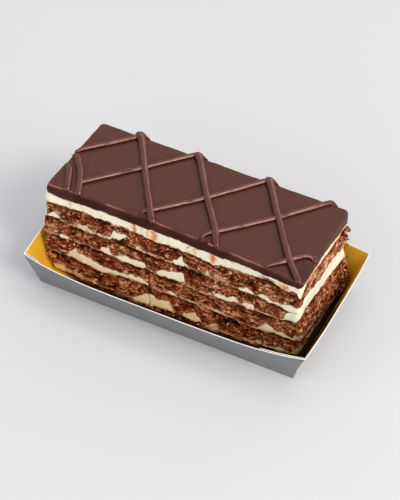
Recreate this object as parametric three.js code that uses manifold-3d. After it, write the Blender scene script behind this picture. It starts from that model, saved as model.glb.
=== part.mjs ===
// A rectangular portion of opera cake in its folded card tray.
// Millimetres, +Z up. The origin is the middle of the tray's underside, +X runs along the
// cake and -Y is its front. The cake is five sponge sheets with five layers of cream between
// and above them, under a chocolate glaze piped with two crossing zigzags.
import * as THREE from "three";
import { mergeVertices } from "three/addons/utils/BufferGeometryUtils.js";
import Module from "manifold-3d";

// ---- driving dimensions ------------------------------------------------------------------
const GAP = 0.3; // clearance kept between touching pieces

const TRAY = {
  base: { halfLength: 55.9, halfWidth: 27.75 },
  rim: [[-60.6, -32], [61.4, -31.4], [62, 31.7], [-62, 31.7]], // front left first, anticlockwise
  height: 17.6, // at the corners
  card: 0.7,
  fold: 0.5, // how far the inside fold lies within the outside one
  sides: { bow: 3.45, power: 4, dip: 1.1, steps: 14 }, // the middle bows out and so sits lower
  ends: { bow: 0.9, power: 3, dip: 0, steps: 4 },
};
// Flaps from the end walls lie inside the front wall. Low and high are shares of the wall.
const FLAP = { low: 0.1, high: 0.97, lowReach: 0.6, slot: 0.3, left: 5.5, right: 16.5 };

const CAKE = {
  bottom: TRAY.card + GAP,
  top: 43.5,
  cornerRadius: 2,
  innerRing: 7, // distance from the side at which the seams are level
  spine: { half: 34, y: 3 }, // the line inside that the inner rings draw in to
};
// The four corners in plan at some heights, front left first and then anticlockwise seen from
// above. The block squats: it swells over the tray's ends and is hollow at its right cut.
const PROFILE = [
  { z: CAKE.bottom, corners: [[-54.8, -19.6], [53.2, -18], [54.3, 25], [-54.7, 25.4]], frontBow: -2.7 },
  { z: 8, corners: [[-56.9, -19.9], [54.6, -18.3], [55.7, 25.4], [-56.6, 25.8]], frontBow: -1.4 },
  { z: 15, corners: [[-58.7, -19.4], [54.2, -18.8], [55.4, 25.6], [-57.9, 26.2]], frontBow: -0.4 },
  { z: 22, corners: [[-59, -18.3], [52.7, -19.1], [53.3, 25.2], [-57.9, 26.3]], frontBow: 0.2 },
  { z: 33, corners: [[-58.2, -16.8], [53.1, -19.3], [53.8, 24.9], [-56.9, 26.1]], frontBow: 1.1 },
  { z: CAKE.top, corners: [[-57.3, -15.6], [53.5, -19.4], [53.7, 24.4], [-55.6, 25.8]], frontBow: 2.1 },
];
const CROWN = PROFILE.at(-1);
const SIDE_COLUMNS = [36, 13, 31, 12]; // columns of facets on the front, right, back and left

// Depth of the relief on the sides, and how far it swells out on the whole as a share of that.
const CRUMB = { sponge: 0.75, cream: 0.3, seam: 0.35, swell: 0.15 };
const SPONGE_ROWS = 3;
const CREAM_ROWS = 2;

// Cream layers from the bottom up. low and high are the heights of a layer where it is level
// inside. Its course round the side is given by straight runs: along the front as [x, low, high],
// and on the other three sides as [distance from the front left corner, low, high].
const CREAMS = [
  {
    low: 2.7, high: 3.8,
    front: [[-57.3, 1.9, 4.6], [-51, 1.7, 6.5], [-47.4, 1.7, 4.3], [-44.8, 1.7, 5.8], [-41.5, 1.8, 3.7],
      [-35.6, 1.9, 5.2], [-34, 2.3, 3.1], [-19, 2.3, 3.1], [-16.6, 2.2, 5], [-10, 2, 8.2],
      [-7.2, 3, 6.9], [-2, 3.2, 7.8], [0.4, 2.6, 3.6], [3.4, 2.5, 3.3], [8.8, 2, 7.4], [12.3, 2.5, 3.3],
      [14.8, 1.9, 2.9], [17, 1.7, 5.1], [20.2, 1.7, 2.6], [31.8, 2, 2.8], [37.2, 1.7, 4.1],
      [40, 1.7, 2.7], [43.5, 1.7, 2.7], [46, 1.7, 4.6], [50, 1.7, 2.7], [51.5, 1.7, 4.2]],
    sides: [[112, 1.7, 4.4], [122, 1.7, 4.5], [154, 1.8, 4.2], [160, 2.7, 3.5], [300, 2.7, 3.5],
      [305, 1.9, 4.6]],
  },
  {
    low: 10.8, high: 11.9,
    front: [[-57.3, 10.8, 11.6], [-48.5, 11.3, 12.1], [-45.4, 11.3, 14.8], [-42.6, 11, 17],
      [-40.8, 10.8, 15], [-36.4, 10.5, 14.6], [-32, 9.9, 13], [-27, 10.7, 12.8], [-20, 11.6, 14],
      [-15.2, 11.9, 14.7], [-12.5, 12.2, 14.5], [-10.6, 11.8, 12.6], [-5, 11.7, 12.5],
      [-1.7, 11.7, 13.6], [1.8, 11.6, 12.4], [14, 11.5, 12.3], [17, 11.4, 13.1], [20.5, 11, 12.4],
      [23.3, 10.5, 11.3], [32, 9.6, 10.4], [36.1, 9.9, 12.1], [39.4, 10.3, 14.7], [43.1, 10.6, 12.8],
      [46.5, 10.5, 12.8], [50.2, 10.1, 10.9], [51.5, 10.7, 13.3]],
    sides: [[112, 11, 14.2], [118, 11.4, 14.2], [122, 11, 12], [154, 10.9, 11.6], [305, 10.8, 11.5]],
  },
  {
    low: 19.7, high: 20.8,
    front: [[-57.3, 19.6, 20.4], [-50.4, 19.5, 20.3], [-48.4, 19.2, 21.5], [-45.6, 19.6, 20.4],
      [-32.6, 19.6, 20.5], [-29.8, 19.6, 23], [-27.4, 19.6, 22.8], [-26, 19.6, 20.4], [-23, 19.4, 22],
      [-20, 19.3, 22.7], [-14.8, 19.1, 22.2], [-12.2, 19.8, 22.4], [-11.3, 19.4, 20.2],
      [-6.6, 19.1, 19.9], [-4.8, 19, 22.2], [0.7, 19.3, 23.4], [4.8, 19.9, 24.4], [6, 19, 19.8],
      [10, 18.5, 19.3], [15, 18.3, 19.1], [18.6, 19, 21], [24.3, 19.1, 21.1], [27, 19.5, 22.5],
      [29.4, 19.4, 20.2], [32.5, 19.1, 22.2], [35.6, 19.7, 20.5], [40.8, 19.6, 20.4], [47.4, 20.1, 21.1],
      [48.6, 20.4, 24.6]],
    sides: [[112, 22.2, 25.3], [118, 23.4, 25.5], [124, 22.6, 25.5], [131, 22.7, 25.5], [154, 22, 25.4],
      [160, 19.8, 20.6], [305, 19.6, 20.4]],
  },
  {
    low: 27.3, high: 28.4,
    front: [[-57.3, 27.2, 28], [-55.6, 27.9, 29], [-53, 28, 30.3], [-50.9, 28.2, 29.3],
      [-50.2, 27.2, 28], [-45, 26.9, 27.7], [-42, 26.8, 28.5], [-38.8, 26.9, 30], [-36.5, 26.8, 28],
      [-33, 27, 27.9], [-27.8, 27, 28.2], [-27, 28.1, 32.6], [-24.5, 28.3, 32], [-21.2, 31, 32.1],
      [-20.4, 27.3, 28.1], [-15.5, 27.2, 29], [-13, 26.9, 28.1], [-5, 26.8, 28.2], [-0.6, 27.3, 28.1],
      [1.2, 27.5, 30], [3, 27.4, 32.6], [4, 27.4, 30.6], [6.2, 27.7, 29.2], [6.9, 27.3, 28.1],
      [13.4, 27.2, 28], [14.6, 27.4, 31.2], [15.8, 27.2, 28], [28, 27.1, 27.9], [31.8, 27.1, 29.8],
      [34.8, 27.2, 28], [39.6, 26.8, 29.8], [43.1, 26.6, 27.9], [46, 26.3, 28.2], [48, 26.1, 29.2]],
    sides: [[112, 26.1, 29.6], [114, 26.1, 31.4], [117, 26.1, 32], [121, 26.1, 31.3], [127, 26.1, 29.6],
      [132, 26.1, 29.2], [136, 26.1, 30], [143, 26.1, 30.1], [150, 26.1, 29.4], [154, 26.1, 27.6],
      [160, 27.5, 28.2], [305, 27.2, 28]],
  },
  {
    low: 35.3, high: 39.4,
    front: [[-57.3, 35.1, 39.6], [-50, 35, 38.9], [-46.5, 34.9, 38.8], [-40, 35.3, 39.2],
      [-20, 35, 39.1], [-10, 34.6, 39.1], [-2, 34.9, 39.3], [8, 34.9, 39], [13.5, 34.3, 39.2],
      [16.7, 33.8, 39.2], [18.8, 34.9, 39.3], [22, 35.5, 39.4], [26.2, 36.1, 40.2], [31.8, 36.6, 40.1],
      [36, 37.1, 39.9], [40.3, 38.2, 39.9], [42.6, 37.2, 40], [46.9, 36.3, 40.1], [49.7, 37.5, 40.3],
      [51.6, 38.2, 40.8]],
    sides: [[112, 40, 41.7], [116, 40.8, 42.1], [122, 41, 42.4], [126, 40.3, 42.4], [130, 40.5, 42.6],
      [135, 40.1, 42.4], [140, 39.4, 41.5], [145, 39.6, 41], [150, 39.9, 40.9], [154, 39, 40.6],
      [162, 36, 39.6], [260, 35.4, 39.4], [290, 35.8, 39.6], [305, 35.1, 39.6]],
  },
];
// Places on the back and the left end where the knife left more cream: where they lie by the
// distance from the front left corner, how many there are in a layer and how large they get.
const POCKETS = {
  layers: 4,
  spans: [
    { start: 160, end: 260, count: 8 },
    { start: 270, end: 304, count: 3 },
  ],
  halfWidth: [2.5, 7],
  sink: 0.9,
  rise: 2.4,
  power: 1.6, // 1 would give them straight flanks, and more gives rounder ones
};
const SHORT_SPONGE = { layer: 3, end: 48.3 }; // this sheet stops short, under the cream
// The layers dip towards the back of the right end, by the whole drop from a height on. The
// glaze is cut there too and so hardly stands out.
const RIGHT_END = { start: 30, drop: 2.6, full: 12, lip: 0.1 };

const PIPING = {
  radius: 1.2,
  sink: 0.3, // height of a line's centre over the glaze
  overpass: 0.35, // how much higher the forward strokes lie than those they cross
  back: 25, // y of the turns at the back
  turnWidth: 1.5, // how far a turn at the back runs along the edge, and past it
  turnReach: 1.6,
  turnTail: 2, // how far a turn's end lies past its middle
  sides: 6,
  mitre: 0.6, // limits how far a sharp bend widens
};
// Rings of the glaze over the top cream, from the lower lip to the rounded upper edge.
const GLAZE_RIMS = [
  { z: CAKE.top - 1.2, out: 0.35 },
  { z: CAKE.top - 0.3, out: 0.15 },
  { z: CAKE.top, out: -0.7 },
];
// The loop at the front edge between two strokes: steps along the edge, outwards and down.
const FRONT_LOOP = [[2.9, -0.2, 0], [1.4, 1.5, 0.8], [-1.6, 1.7, 0.9], [-3.4, 0.6, 0.2], [-3, -2.4, 0]];
// Each zigzag alternates between turns at the back and crossed loops at the front, given by x.
const ZIGZAGS = [
  { loops: [-47, 12.3], turns: [-12.8, 45.6] },
  { loops: [-14.2, 46.5], turns: [-38.8, 18.7] },
];
// Cut strokes at the ends. The last of the left end holds that end's turn at the back.
const LEFT_ENDS = [[[-56.6, 4], [-53.5, 1.5], [-44.1, -15]], [[-56.4, -1.6], [-49, -14]],
  [[-56.2, 7.6], [-40.3, 25], [-38.8, 26.6], [-36.9, 24.5]]];
const RIGHT_ENDS = [[[47.1, 24.8], [52.4, 20]], [[38, -16.6], [51.3, -4.8], [52.5, -8]]];
const SEED = 7;

// ---- small tools ---------------------------------------------------------------------------
const wasm = await Module();
wasm.setup();

/** A repeatable stream of numbers from 0 to 1. */
function randomStream(seed) {
  let state = seed >>> 0;
  return () => {
    state = (state + 0x6d2b79f5) >>> 0;
    let t = state;
    t = Math.imul(t ^ (t >>> 15), t | 1);
    t ^= t + Math.imul(t ^ (t >>> 7), t | 61);
    return ((t ^ (t >>> 14)) >>> 0) / 2 ** 32;
  };
}

const lerp = THREE.MathUtils.lerp;
const smoothstep = THREE.MathUtils.smoothstep;

/** A closed geometry as a manifold solid. */
function solidOf(geometry) {
  const bare = geometry.clone();
  bare.deleteAttribute("normal");
  bare.deleteAttribute("uv");
  const merged = mergeVertices(bare, 1e-4);
  return new wasm.Manifold(
    new wasm.Mesh({
      numProp: 3,
      vertProperties: new Float32Array(merged.attributes.position.array),
      triVerts: new Uint32Array(merged.index.array),
    }),
  );
}

/** A manifold solid as a geometry for a mesh. */
function geometryOf(solid) {
  const { numProp, vertProperties, triVerts } = solid.getMesh();
  const points = new Float32Array((vertProperties.length / numProp) * 3);
  for (let i = 0; i < points.length / 3; i++) {
    points.set(vertProperties.subarray(i * numProp, i * numProp + 3), i * 3);
  }
  return new THREE.BufferGeometry()
    .setAttribute("position", new THREE.BufferAttribute(points, 3))
    .setIndex(new THREE.BufferAttribute(new Uint32Array(triVerts), 1))
    .toNonIndexed();
}

/** An indexed geometry from points and triangles. */
function meshFrom(points, triangles) {
  const geometry = new THREE.BufferGeometry();
  geometry.setAttribute("position", new THREE.Float32BufferAttribute(points.flat(), 3));
  geometry.setIndex(triangles.flat());
  return geometry;
}

/** Triangles between two loops of as many points, the second one above or inside the first. */
function band(first, second, count) {
  const faces = [];
  for (let i = 0; i < count; i++) {
    const j = (i + 1) % count;
    faces.push([first + i, first + j, second + j], [first + i, second + j, second + i]);
  }
  return faces;
}

// ---- the block of cake ---------------------------------------------------------------------
/** Columns round the block: each lies on a side at a share of its length, or on a corner. */
function makeColumns() {
  const columns = [];
  SIDE_COLUMNS.forEach((count, side) => {
    columns.push({ side, corner: true, share: 0 });
    for (let i = 0; i < count; i++) columns.push({ side, corner: false, share: (i + 0.5) / count });
  });
  return columns;
}

const COLUMNS = makeColumns();

/** The plan of the block at a height: its corners and the bow of its front. */
function planAt(z) {
  const above = PROFILE.findIndex((plan, i) => i > 0 && (plan.z >= z || i === PROFILE.length - 1));
  const [low, high] = [PROFILE[above - 1], PROFILE[above]];
  const t = THREE.MathUtils.clamp((z - low.z) / (high.z - low.z), 0, 1);
  return {
    corners: low.corners.map((corner, i) => corner.map((v, axis) => lerp(v, high.corners[i][axis], t))),
    frontBow: lerp(low.frontBow, high.frontBow, t),
  };
}

/** Outward direction of the side between two corners in plan. */
const outward = (from, to) => new THREE.Vector2(to[1] - from[1], from[0] - to[0]).normalize();

/** Where a column meets the side at a height, and the outward direction there. */
function sideAt(column, z) {
  const { corners, frontBow } = planAt(z);
  const from = corners[column.side];
  const to = corners[(column.side + 1) % 4];
  const out = outward(from, to);
  const point = new THREE.Vector2(...from);
  if (column.corner) {
    out.add(outward(corners[(column.side + 3) % 4], from)).normalize();
    return { point: point.addScaledVector(out, -CAKE.cornerRadius * (Math.SQRT2 - 1)), out };
  }
  const margin = CAKE.cornerRadius / Math.hypot(to[0] - from[0], to[1] - from[1]);
  const share = lerp(margin, 1 - margin, column.share);
  point.lerp(new THREE.Vector2(...to), share);
  if (column.side === 0) point.y += frontBow * 4 * share * (1 - share);
  return { point, out };
}

/** Distance along the sides from the front left corner. */
function walk(column) {
  const lengths = CROWN.corners.map(([x, y], i) => {
    const [a, b] = CROWN.corners[(i + 1) % 4];
    return Math.hypot(a - x, b - y);
  });
  return lengths.slice(0, column.side).reduce((sum, l) => sum + l, 0) + lengths[column.side] * column.share;
}

/** The course of each cream round the whole block, by distance from the front left corner. */
const COURSES = CREAMS.map(({ front, sides }) => {
  return [...front.map(([x, low, high]) => [x - CROWN.corners[0][0], low, high]), ...sides];
});

/** The pockets of each cream, by the seeded rule. */
function drawPockets() {
  const random = randomStream(SEED);
  return CREAMS.slice(0, POCKETS.layers).map((cream) => {
    return POCKETS.spans.flatMap(({ start, end, count }) => {
      return Array.from({ length: count }, (_, i) => ({
        half: lerp(...POCKETS.halfWidth, random()),
        at: lerp(start, end, (i + random()) / count),
        low: cream.low - POCKETS.sink * random(),
        high: cream.high + POCKETS.rise * random(),
      }));
    });
  });
}

const LOOSE = drawPockets();

/** The low and high of a cream's course at a distance round the side. */
function courseAt(course, at) {
  const next = course.findIndex(([start]) => start > at);
  if (next < 0) return { low: course.at(-1)[1], high: course.at(-1)[2] };
  const [before, after] = [course[next - 1], course[next]];
  const t = (at - before[0]) / (after[0] - before[0]);
  return { low: lerp(before[1], after[1], t), high: lerp(before[2], after[2], t) };
}

/** The lower or upper height of a cream layer on the side at a column. */
function creamAt(layer, which, column) {
  const at = walk(column);
  const course = courseAt(COURSES[layer], at)[which];
  const heights = (LOOSE[layer] ?? []).map((pocket) => {
    const off = Math.min(Math.abs(at - pocket.at) / pocket.half, 1);
    return lerp(course, pocket[which], 1 - off ** POCKETS.power);
  });
  return which === "low" ? Math.min(course, ...heights) : Math.max(course, ...heights);
}

/** The dip of every layer towards the back of the right end. */
function endDip(x, y, z) {
  const back = (y - CROWN.corners[1][1]) / (CROWN.corners[2][1] - CROWN.corners[1][1]);
  const high = smoothstep(z, CAKE.bottom, RIGHT_END.full);
  const right = smoothstep(x, RIGHT_END.start, CROWN.corners[1][0]);
  return -RIGHT_END.drop * high * right * THREE.MathUtils.clamp(back, 0, 1);
}

/** Seams from the bottom up: the height of one at a column on the side, or level inside. */
function seamHeight(seam, column, inside, point) {
  if (seam === 0) return CAKE.bottom;
  const layer = Math.floor((seam - 1) / 2);
  const which = seam % 2 ? "low" : "high";
  const z = inside ? CREAMS[layer][which] : creamAt(layer, which, column);
  return z + endDip(point.x, point.y, z);
}

/** Random relief from -1 to 1 for a row of facets and a column, a little smoothed along the row. */
const relief = (() => {
  const random = randomStream(SEED + 4);
  const seams = 2 * CREAMS.length + 1;
  const rows = seams + CREAMS.length * (SPONGE_ROWS + CREAM_ROWS - 2);
  const table = Array.from({ length: rows }, () => COLUMNS.map(() => random() * 2 - 1));
  return (row, index) => {
    const near = (table[row][(index + 1) % COLUMNS.length] + table[row][index]) / 2;
    return 0.65 * table[row][index] + 0.35 * near;
  };
})();

/** The first row of relief within a layer, after those of all seams and of the layers under it. */
function reliefRow(lowerSeam) {
  const layer = Math.floor(lowerSeam / 2);
  const before = lowerSeam % 2 ? SPONGE_ROWS - 1 : 0;
  return 2 * CREAMS.length + 1 + layer * (SPONGE_ROWS + CREAM_ROWS - 2) + before;
}

/** Two loops of a seam: on the side, and the inner ring of half as many points. */
function seamLoops(seam, lift) {
  const guess = seam === 0 ? CAKE.bottom : CREAMS[Math.floor((seam - 1) / 2)][seam % 2 ? "low" : "high"];
  const outer = COLUMNS.map((column, i) => {
    const { point, out } = sideAt(column, guess);
    const z = seamHeight(seam, column, false, point);
    const placed = sideAt(column, z).point.addScaledVector(out, CRUMB.seam * relief(seam, i));
    return [placed.x, placed.y, z + lift];
  });
  const inner = [];
  for (let i = 0; i < COLUMNS.length; i += 2) {
    const { point } = sideAt(COLUMNS[i], guess);
    const { half, y } = CAKE.spine;
    const spine = new THREE.Vector2(THREE.MathUtils.clamp(point.x, -half, half), y);
    point.lerp(spine, CAKE.innerRing / Math.max(point.distanceTo(spine), CAKE.innerRing));
    inner.push([point.x, point.y, seamHeight(seam, COLUMNS[i], true, point) + lift]);
  }
  return { outer, inner };
}

/** The cap over a seam's loops: a strip of three triangles for two columns, then a flat fill. */
function cap(outerStart, innerStart, inner) {
  const count = COLUMNS.length;
  const half = count / 2;
  const faces = [];
  for (let i = 0; i < half; i++) {
    const [a, b, c] = [outerStart + 2 * i, outerStart + 2 * i + 1, outerStart + ((2 * i + 2) % count)];
    const [p, q] = [innerStart + i, innerStart + ((i + 1) % half)];
    faces.push([a, b, p], [b, q, p], [b, c, q]);
  }
  const ring = inner.map(([x, y]) => new THREE.Vector2(x, y));
  THREE.ShapeUtils.triangulateShape(ring, []).forEach((t) => faces.push(t.map((k) => innerStart + k)));
  return faces;
}

const flipped = (faces) => faces.map(([a, b, c]) => [a, c, b]);

/** A layer between two seams, with its sides in rows that swell and break away by depth. */
function layerGeometry(lowerSeam, rows, depth) {
  const count = COLUMNS.length;
  const firstRow = reliefRow(lowerSeam) - 1;
  const low = seamLoops(lowerSeam, GAP / 2 * (lowerSeam > 0));
  const high = seamLoops(lowerSeam + 1, -GAP / 2);
  const points = [...low.outer];
  for (let row = 1; row < rows; row++) {
    COLUMNS.forEach((column, i) => {
      const z = lerp(low.outer[i][2], high.outer[i][2], row / rows);
      const { point, out } = sideAt(column, z);
      point.addScaledVector(out, depth * (relief(firstRow + row, i) + CRUMB.swell));
      points.push([point.x, point.y, z]);
    });
  }
  points.push(...high.outer);
  const faces = [];
  for (let row = 0; row < rows; row++) faces.push(...band(row * count, (row + 1) * count, count));
  const lowInner = points.push(...low.inner) - low.inner.length;
  const highInner = points.push(...high.inner) - high.inner.length;
  faces.push(...flipped(cap(0, lowInner, low.inner)), ...cap(rows * count, highInner, high.inner));
  return meshFrom(points, faces);
}

/** The sponge sheet that ends short of the cut face. */
function shortened(geometry) {
  const margin = 20;
  const cutter = new THREE.BoxGeometry(margin, 4 * margin, 4 * margin);
  cutter.translate(SHORT_SPONGE.end + margin / 2, 0, CAKE.top / 2);
  return geometryOf(solidOf(geometry).subtract(solidOf(cutter)));
}

// ---- glaze and piping ----------------------------------------------------------------------
/** The glaze slab: it starts on the top cream and has a rounded upper edge. */
function glazeSlab() {
  const count = COLUMNS.length;
  const seam = 2 * CREAMS.length;
  const low = seamLoops(seam, GAP / 2);
  const points = [...low.outer];
  for (const rim of GLAZE_RIMS) {
    for (const column of COLUMNS) {
      const { point, out } = sideAt(column, rim.z);
      const cutFace = column.side === 1 && !column.corner;
      point.addScaledVector(out, cutFace ? Math.min(rim.out, RIGHT_END.lip) : rim.out);
      points.push([point.x, point.y, rim.z]);
    }
  }
  const faces = GLAZE_RIMS.flatMap((_, row) => band(row * count, (row + 1) * count, count));
  const inner = points.push(...low.inner) - low.inner.length;
  faces.push(...flipped(cap(0, inner, low.inner)));
  const last = GLAZE_RIMS.length * count;
  const top = points.slice(last, last + count).map(([x, y]) => new THREE.Vector2(x, y));
  THREE.ShapeUtils.triangulateShape(top, []).forEach((t) => faces.push(t.map((k) => last + k)));
  return meshFrom(points, faces);
}

/** One piped stroke through points [x, y, how far below z], with mitred bends. */
function stroke(path, z) {
  const { radius, sides } = PIPING;
  const points = path.flatMap(([x, y, drop = 0], i) => {
    const here = new THREE.Vector2(x, y);
    const towards = (a, b) => new THREE.Vector2(b[0] - a[0], b[1] - a[1]).normalize();
    const ahead = towards(path[i < path.length - 1 ? i : i - 1], path[i < path.length - 1 ? i + 1 : i]);
    const behind = i ? towards(path[i - 1], path[i]) : ahead;
    const across = new THREE.Vector2(-ahead.y - behind.y, ahead.x + behind.x).normalize();
    across.divideScalar(Math.max(across.dot(new THREE.Vector2(-ahead.y, ahead.x)), PIPING.mitre));
    return Array.from({ length: sides }, (_, k) => {
      const angle = (2 * Math.PI * k) / sides;
      const at = here.clone().addScaledVector(across, radius * Math.cos(angle));
      return [at.x, at.y, z - drop + radius * Math.sin(angle)];
    });
  });
  const last = (path.length - 1) * sides;
  const faces = [];
  for (let i = 0; i < last; i += sides) faces.push(...band(i, i + sides, sides));
  for (let k = 1; k < sides - 1; k++) faces.push([0, k + 1, k], [last, last + k, last + k + 1]);
  return meshFrom(points, faces);
}

/** The front edge of the glaze at x. */
function frontEdge(x) {
  const { corners, frontBow } = planAt(CAKE.top);
  const share = (x - corners[0][0]) / (corners[1][0] - corners[0][0]);
  return lerp(corners[0][1], corners[1][1], share) + frontBow * 4 * share * (1 - share);
}

/** The loop over the front edge at x. */
const frontLoop = (x) => FRONT_LOOP.map(([along, out, down]) => [x + along, frontEdge(x) - out, down]);

/** All strokes of the piping. Forward strokes end in a front loop, backward ones in a turn. */
function pipingStrokes() {
  const { sink, overpass, back, turnWidth, turnReach, turnTail } = PIPING;
  const low = CAKE.top + sink;
  const high = low + overpass;
  const tail = [turnTail, back - turnTail / 4];
  const strokes = [];
  for (const { loops, turns } of ZIGZAGS) {
    for (const x of loops) {
      const loop = frontLoop(x);
      const before = turns.filter((turn) => turn < x).at(-1);
      strokes.push(stroke(before ? [[before + turnWidth, back], ...loop] : loop, high));
      const next = turns.find((turn) => turn > x);
      if (next) {
        const turn = [[next - turnWidth, back], [next, back + turnReach], [next + tail[0], tail[1]]];
        strokes.push(stroke([loop.at(-1), ...turn], low));
      }
    }
  }
  strokes.push(...LEFT_ENDS.map((ends) => stroke(ends, high)));
  strokes.push(...RIGHT_ENDS.map((ends) => stroke(ends, low)));
  return strokes;
}

/** Glaze and piping as one solid. */
function glazeGeometry() {
  return geometryOf(pipingStrokes().reduce((sum, part) => sum.add(solidOf(part)), solidOf(glazeSlab())));
}

// ---- tray ----------------------------------------------------------------------------------
/** The tray's walls as stations round it: plan of the fold at the base, and of the rim. */
function trayStations() {
  const { base, rim, height, sides, ends } = TRAY;
  const signs = [[-1, -1], [1, -1], [1, 1], [-1, 1]];
  return signs.flatMap((from, side) => {
    const to = signs[(side + 1) % 4];
    const { bow, power, dip, steps } = side % 2 ? ends : sides;
    const out = [(from[0] + to[0]) / 2, (from[1] + to[1]) / 2];
    return Array.from({ length: steps }, (_, i) => {
      const share = i / steps;
      const middle = 1 - Math.abs(2 * share - 1) ** power;
      const between = (a, b) => [lerp(a[0], b[0], share), lerp(a[1], b[1], share)];
      const unit = between(from, to);
      const top = between(rim[side], rim[(side + 1) % 4]);
      return {
        base: [unit[0] * base.halfLength, unit[1] * base.halfWidth, 0],
        rim: [top[0] + out[0] * bow * middle, top[1] + out[1] * bow * middle, height - dip * middle],
        inward: i ? [-out[0], -out[1]] : [-from[0], -from[1]],
      };
    });
  });
}

/** A station's point on the inside of the wall, at a share of its height and off the card. */
function wallPoint(station, share, off) {
  const point = station.base.map((value, axis) => lerp(value, station.rim[axis], share));
  return [point[0] + station.inward[0] * off, point[1] + station.inward[1] * off, point[2]];
}

/** A flap of an end wall, folded along the inside of the front wall to a length at the rim. */
function flapGeometry(corner, beside, length) {
  const full = length / Math.hypot(beside.rim[0] - corner.rim[0], beside.rim[1] - corner.rim[1]);
  const points = [];
  for (const off of [TRAY.card + FLAP.slot, 2 * TRAY.card + FLAP.slot]) {
    for (const [share, reach] of [[FLAP.low, FLAP.lowReach * full], [FLAP.high, full]]) {
      const start = wallPoint(corner, share, TRAY.card / 2);
      start[1] = wallPoint(corner, share, 0)[1];
      const end = wallPoint(beside, share, 0).map((value, axis) => lerp(start[axis], value, reach));
      points.push(...[start, end].map(([x, y, z]) => [x, y + off, z]));
    }
  }
  const faces = [[0, 1, 3], [0, 3, 2], [4, 7, 5], [4, 6, 7], [0, 4, 5], [0, 5, 1], [2, 3, 7], [2, 7, 6],
    [0, 2, 6], [0, 6, 4], [1, 5, 7], [1, 7, 3]];
  return meshFrom(points, corner.base[0] < 0 ? faces : flipped(faces));
}

/** The folded card tray with its corner flaps. */
function trayGeometry() {
  const stations = trayStations();
  const count = stations.length;
  const loops = [
    stations.map((s) => s.base),
    stations.map((s) => s.rim),
    stations.map((s) => wallPoint(s, 1, TRAY.card)),
    stations.map((s) => [...wallPoint(s, 0, TRAY.fold).slice(0, 2), TRAY.card]),
  ];
  const faces = [0, 1, 2].flatMap((row) => band(row * count, (row + 1) * count, count));
  const floor = (row, turn) => {
    const ring = loops[row].map(([x, y]) => new THREE.Vector2(x, y));
    return turn(THREE.ShapeUtils.triangulateShape(ring, []).map((t) => t.map((k) => row * count + k)));
  };
  faces.push(...floor(0, flipped), ...floor(3, (f) => f));
  const card = solidOf(meshFrom(loops.flat(), faces));
  const right = TRAY.sides.steps;
  const leftFlap = solidOf(flapGeometry(stations[0], stations[1], FLAP.left));
  const rightFlap = solidOf(flapGeometry(stations[right], stations[right - 2], FLAP.right));
  return geometryOf(card.add(leftFlap).add(rightFlap));
}

// ---- the object ----------------------------------------------------------------------------
/** A plain material in a colour, with its roughness and how metallic it is. */
function finish(color, roughness, metalness = 0) {
  return new THREE.MeshStandardMaterial({ color, roughness, metalness });
}

const sponge = finish(0x6b3a24, 0.95);
const cream = finish(0xf3e9cf, 0.6);
const glaze = finish(0x5e4038, 0.4);
const goldCard = finish(0xc8962e, 0.35, 0.6);

/** Adds a named mesh to a group. */
function addPiece(group, name, geometry, material) {
  const mesh = new THREE.Mesh(geometry, material);
  mesh.name = name;
  group.add(mesh);
}

const cake = new THREE.Group();
addPiece(cake, "card_tray", trayGeometry(), goldCard);
CREAMS.forEach((_, layer) => {
  const seam = 2 * layer;
  const sheet = layerGeometry(seam, SPONGE_ROWS, CRUMB.sponge);
  addPiece(cake, `sponge_${layer + 1}`, layer === SHORT_SPONGE.layer ? shortened(sheet) : sheet, sponge);
  addPiece(cake, `cream_${layer + 1}`, layerGeometry(seam + 1, CREAM_ROWS, CRUMB.cream), cream);
});
addPiece(cake, "glaze", glazeGeometry(), glaze);

export default cake;
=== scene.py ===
"""A rectangular portion of opera cake in its folded card tray, dressed for the camera.

Millimetres are used throughout and turned into metres where a mesh is made. +X runs along the
cake, -Y is its long front side and +Z is up, as in the frame. Every layer of the cake is one
closed surface: a grid whose columns run round the block and whose rows climb from the middle of
its underside, over its side, to the middle of its top.
"""
import itertools
import logging
import math
from dataclasses import dataclass, field
from enum import Enum, IntEnum
from typing import Callable, Sequence

import bmesh
import bpy
import numpy as np
from mathutils import Matrix, Vector


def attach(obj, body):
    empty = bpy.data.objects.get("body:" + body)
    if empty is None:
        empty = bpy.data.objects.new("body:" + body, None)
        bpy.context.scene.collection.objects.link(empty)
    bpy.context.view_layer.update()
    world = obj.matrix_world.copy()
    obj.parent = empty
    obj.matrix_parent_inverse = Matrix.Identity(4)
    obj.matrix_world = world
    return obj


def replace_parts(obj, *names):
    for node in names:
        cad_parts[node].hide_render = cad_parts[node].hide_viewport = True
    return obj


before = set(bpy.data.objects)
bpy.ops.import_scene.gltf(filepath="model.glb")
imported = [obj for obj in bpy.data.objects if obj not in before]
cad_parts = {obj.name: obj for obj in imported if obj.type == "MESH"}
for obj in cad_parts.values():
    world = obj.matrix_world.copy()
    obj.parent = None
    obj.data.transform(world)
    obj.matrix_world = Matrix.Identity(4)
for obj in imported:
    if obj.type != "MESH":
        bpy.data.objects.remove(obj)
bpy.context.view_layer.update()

Array = np.ndarray
MM = 0.001
BODY = "root"
log = logging.getLogger("opera_cake")


# ---- noise -----------------------------------------------------------------------------------
def hash_unit(cells: Array, seed: int) -> Array:
    """Gives every whole-number cell a repeatable number from 0 to 1 by mixing its bits.

    Args:
        cells: Whole numbers, shape (..., 3).
        seed: Which set of numbers.

    Returns:
        Numbers from 0 to 1, shape (...).
    """
    parts = cells.astype(np.int64).astype(np.uint32)
    primes = np.array([374761393, 668265263, 2246822519], np.uint32)
    mixed = (parts * primes).sum(axis=-1, dtype=np.uint32) + np.uint32(seed * 3266489917 % 2**32)
    mixed = (mixed ^ (mixed >> np.uint32(15))) * np.uint32(2654435761)
    mixed = (mixed ^ (mixed >> np.uint32(13))) * np.uint32(1274126177)
    return (mixed ^ (mixed >> np.uint32(16))) / 2.0**32


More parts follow.
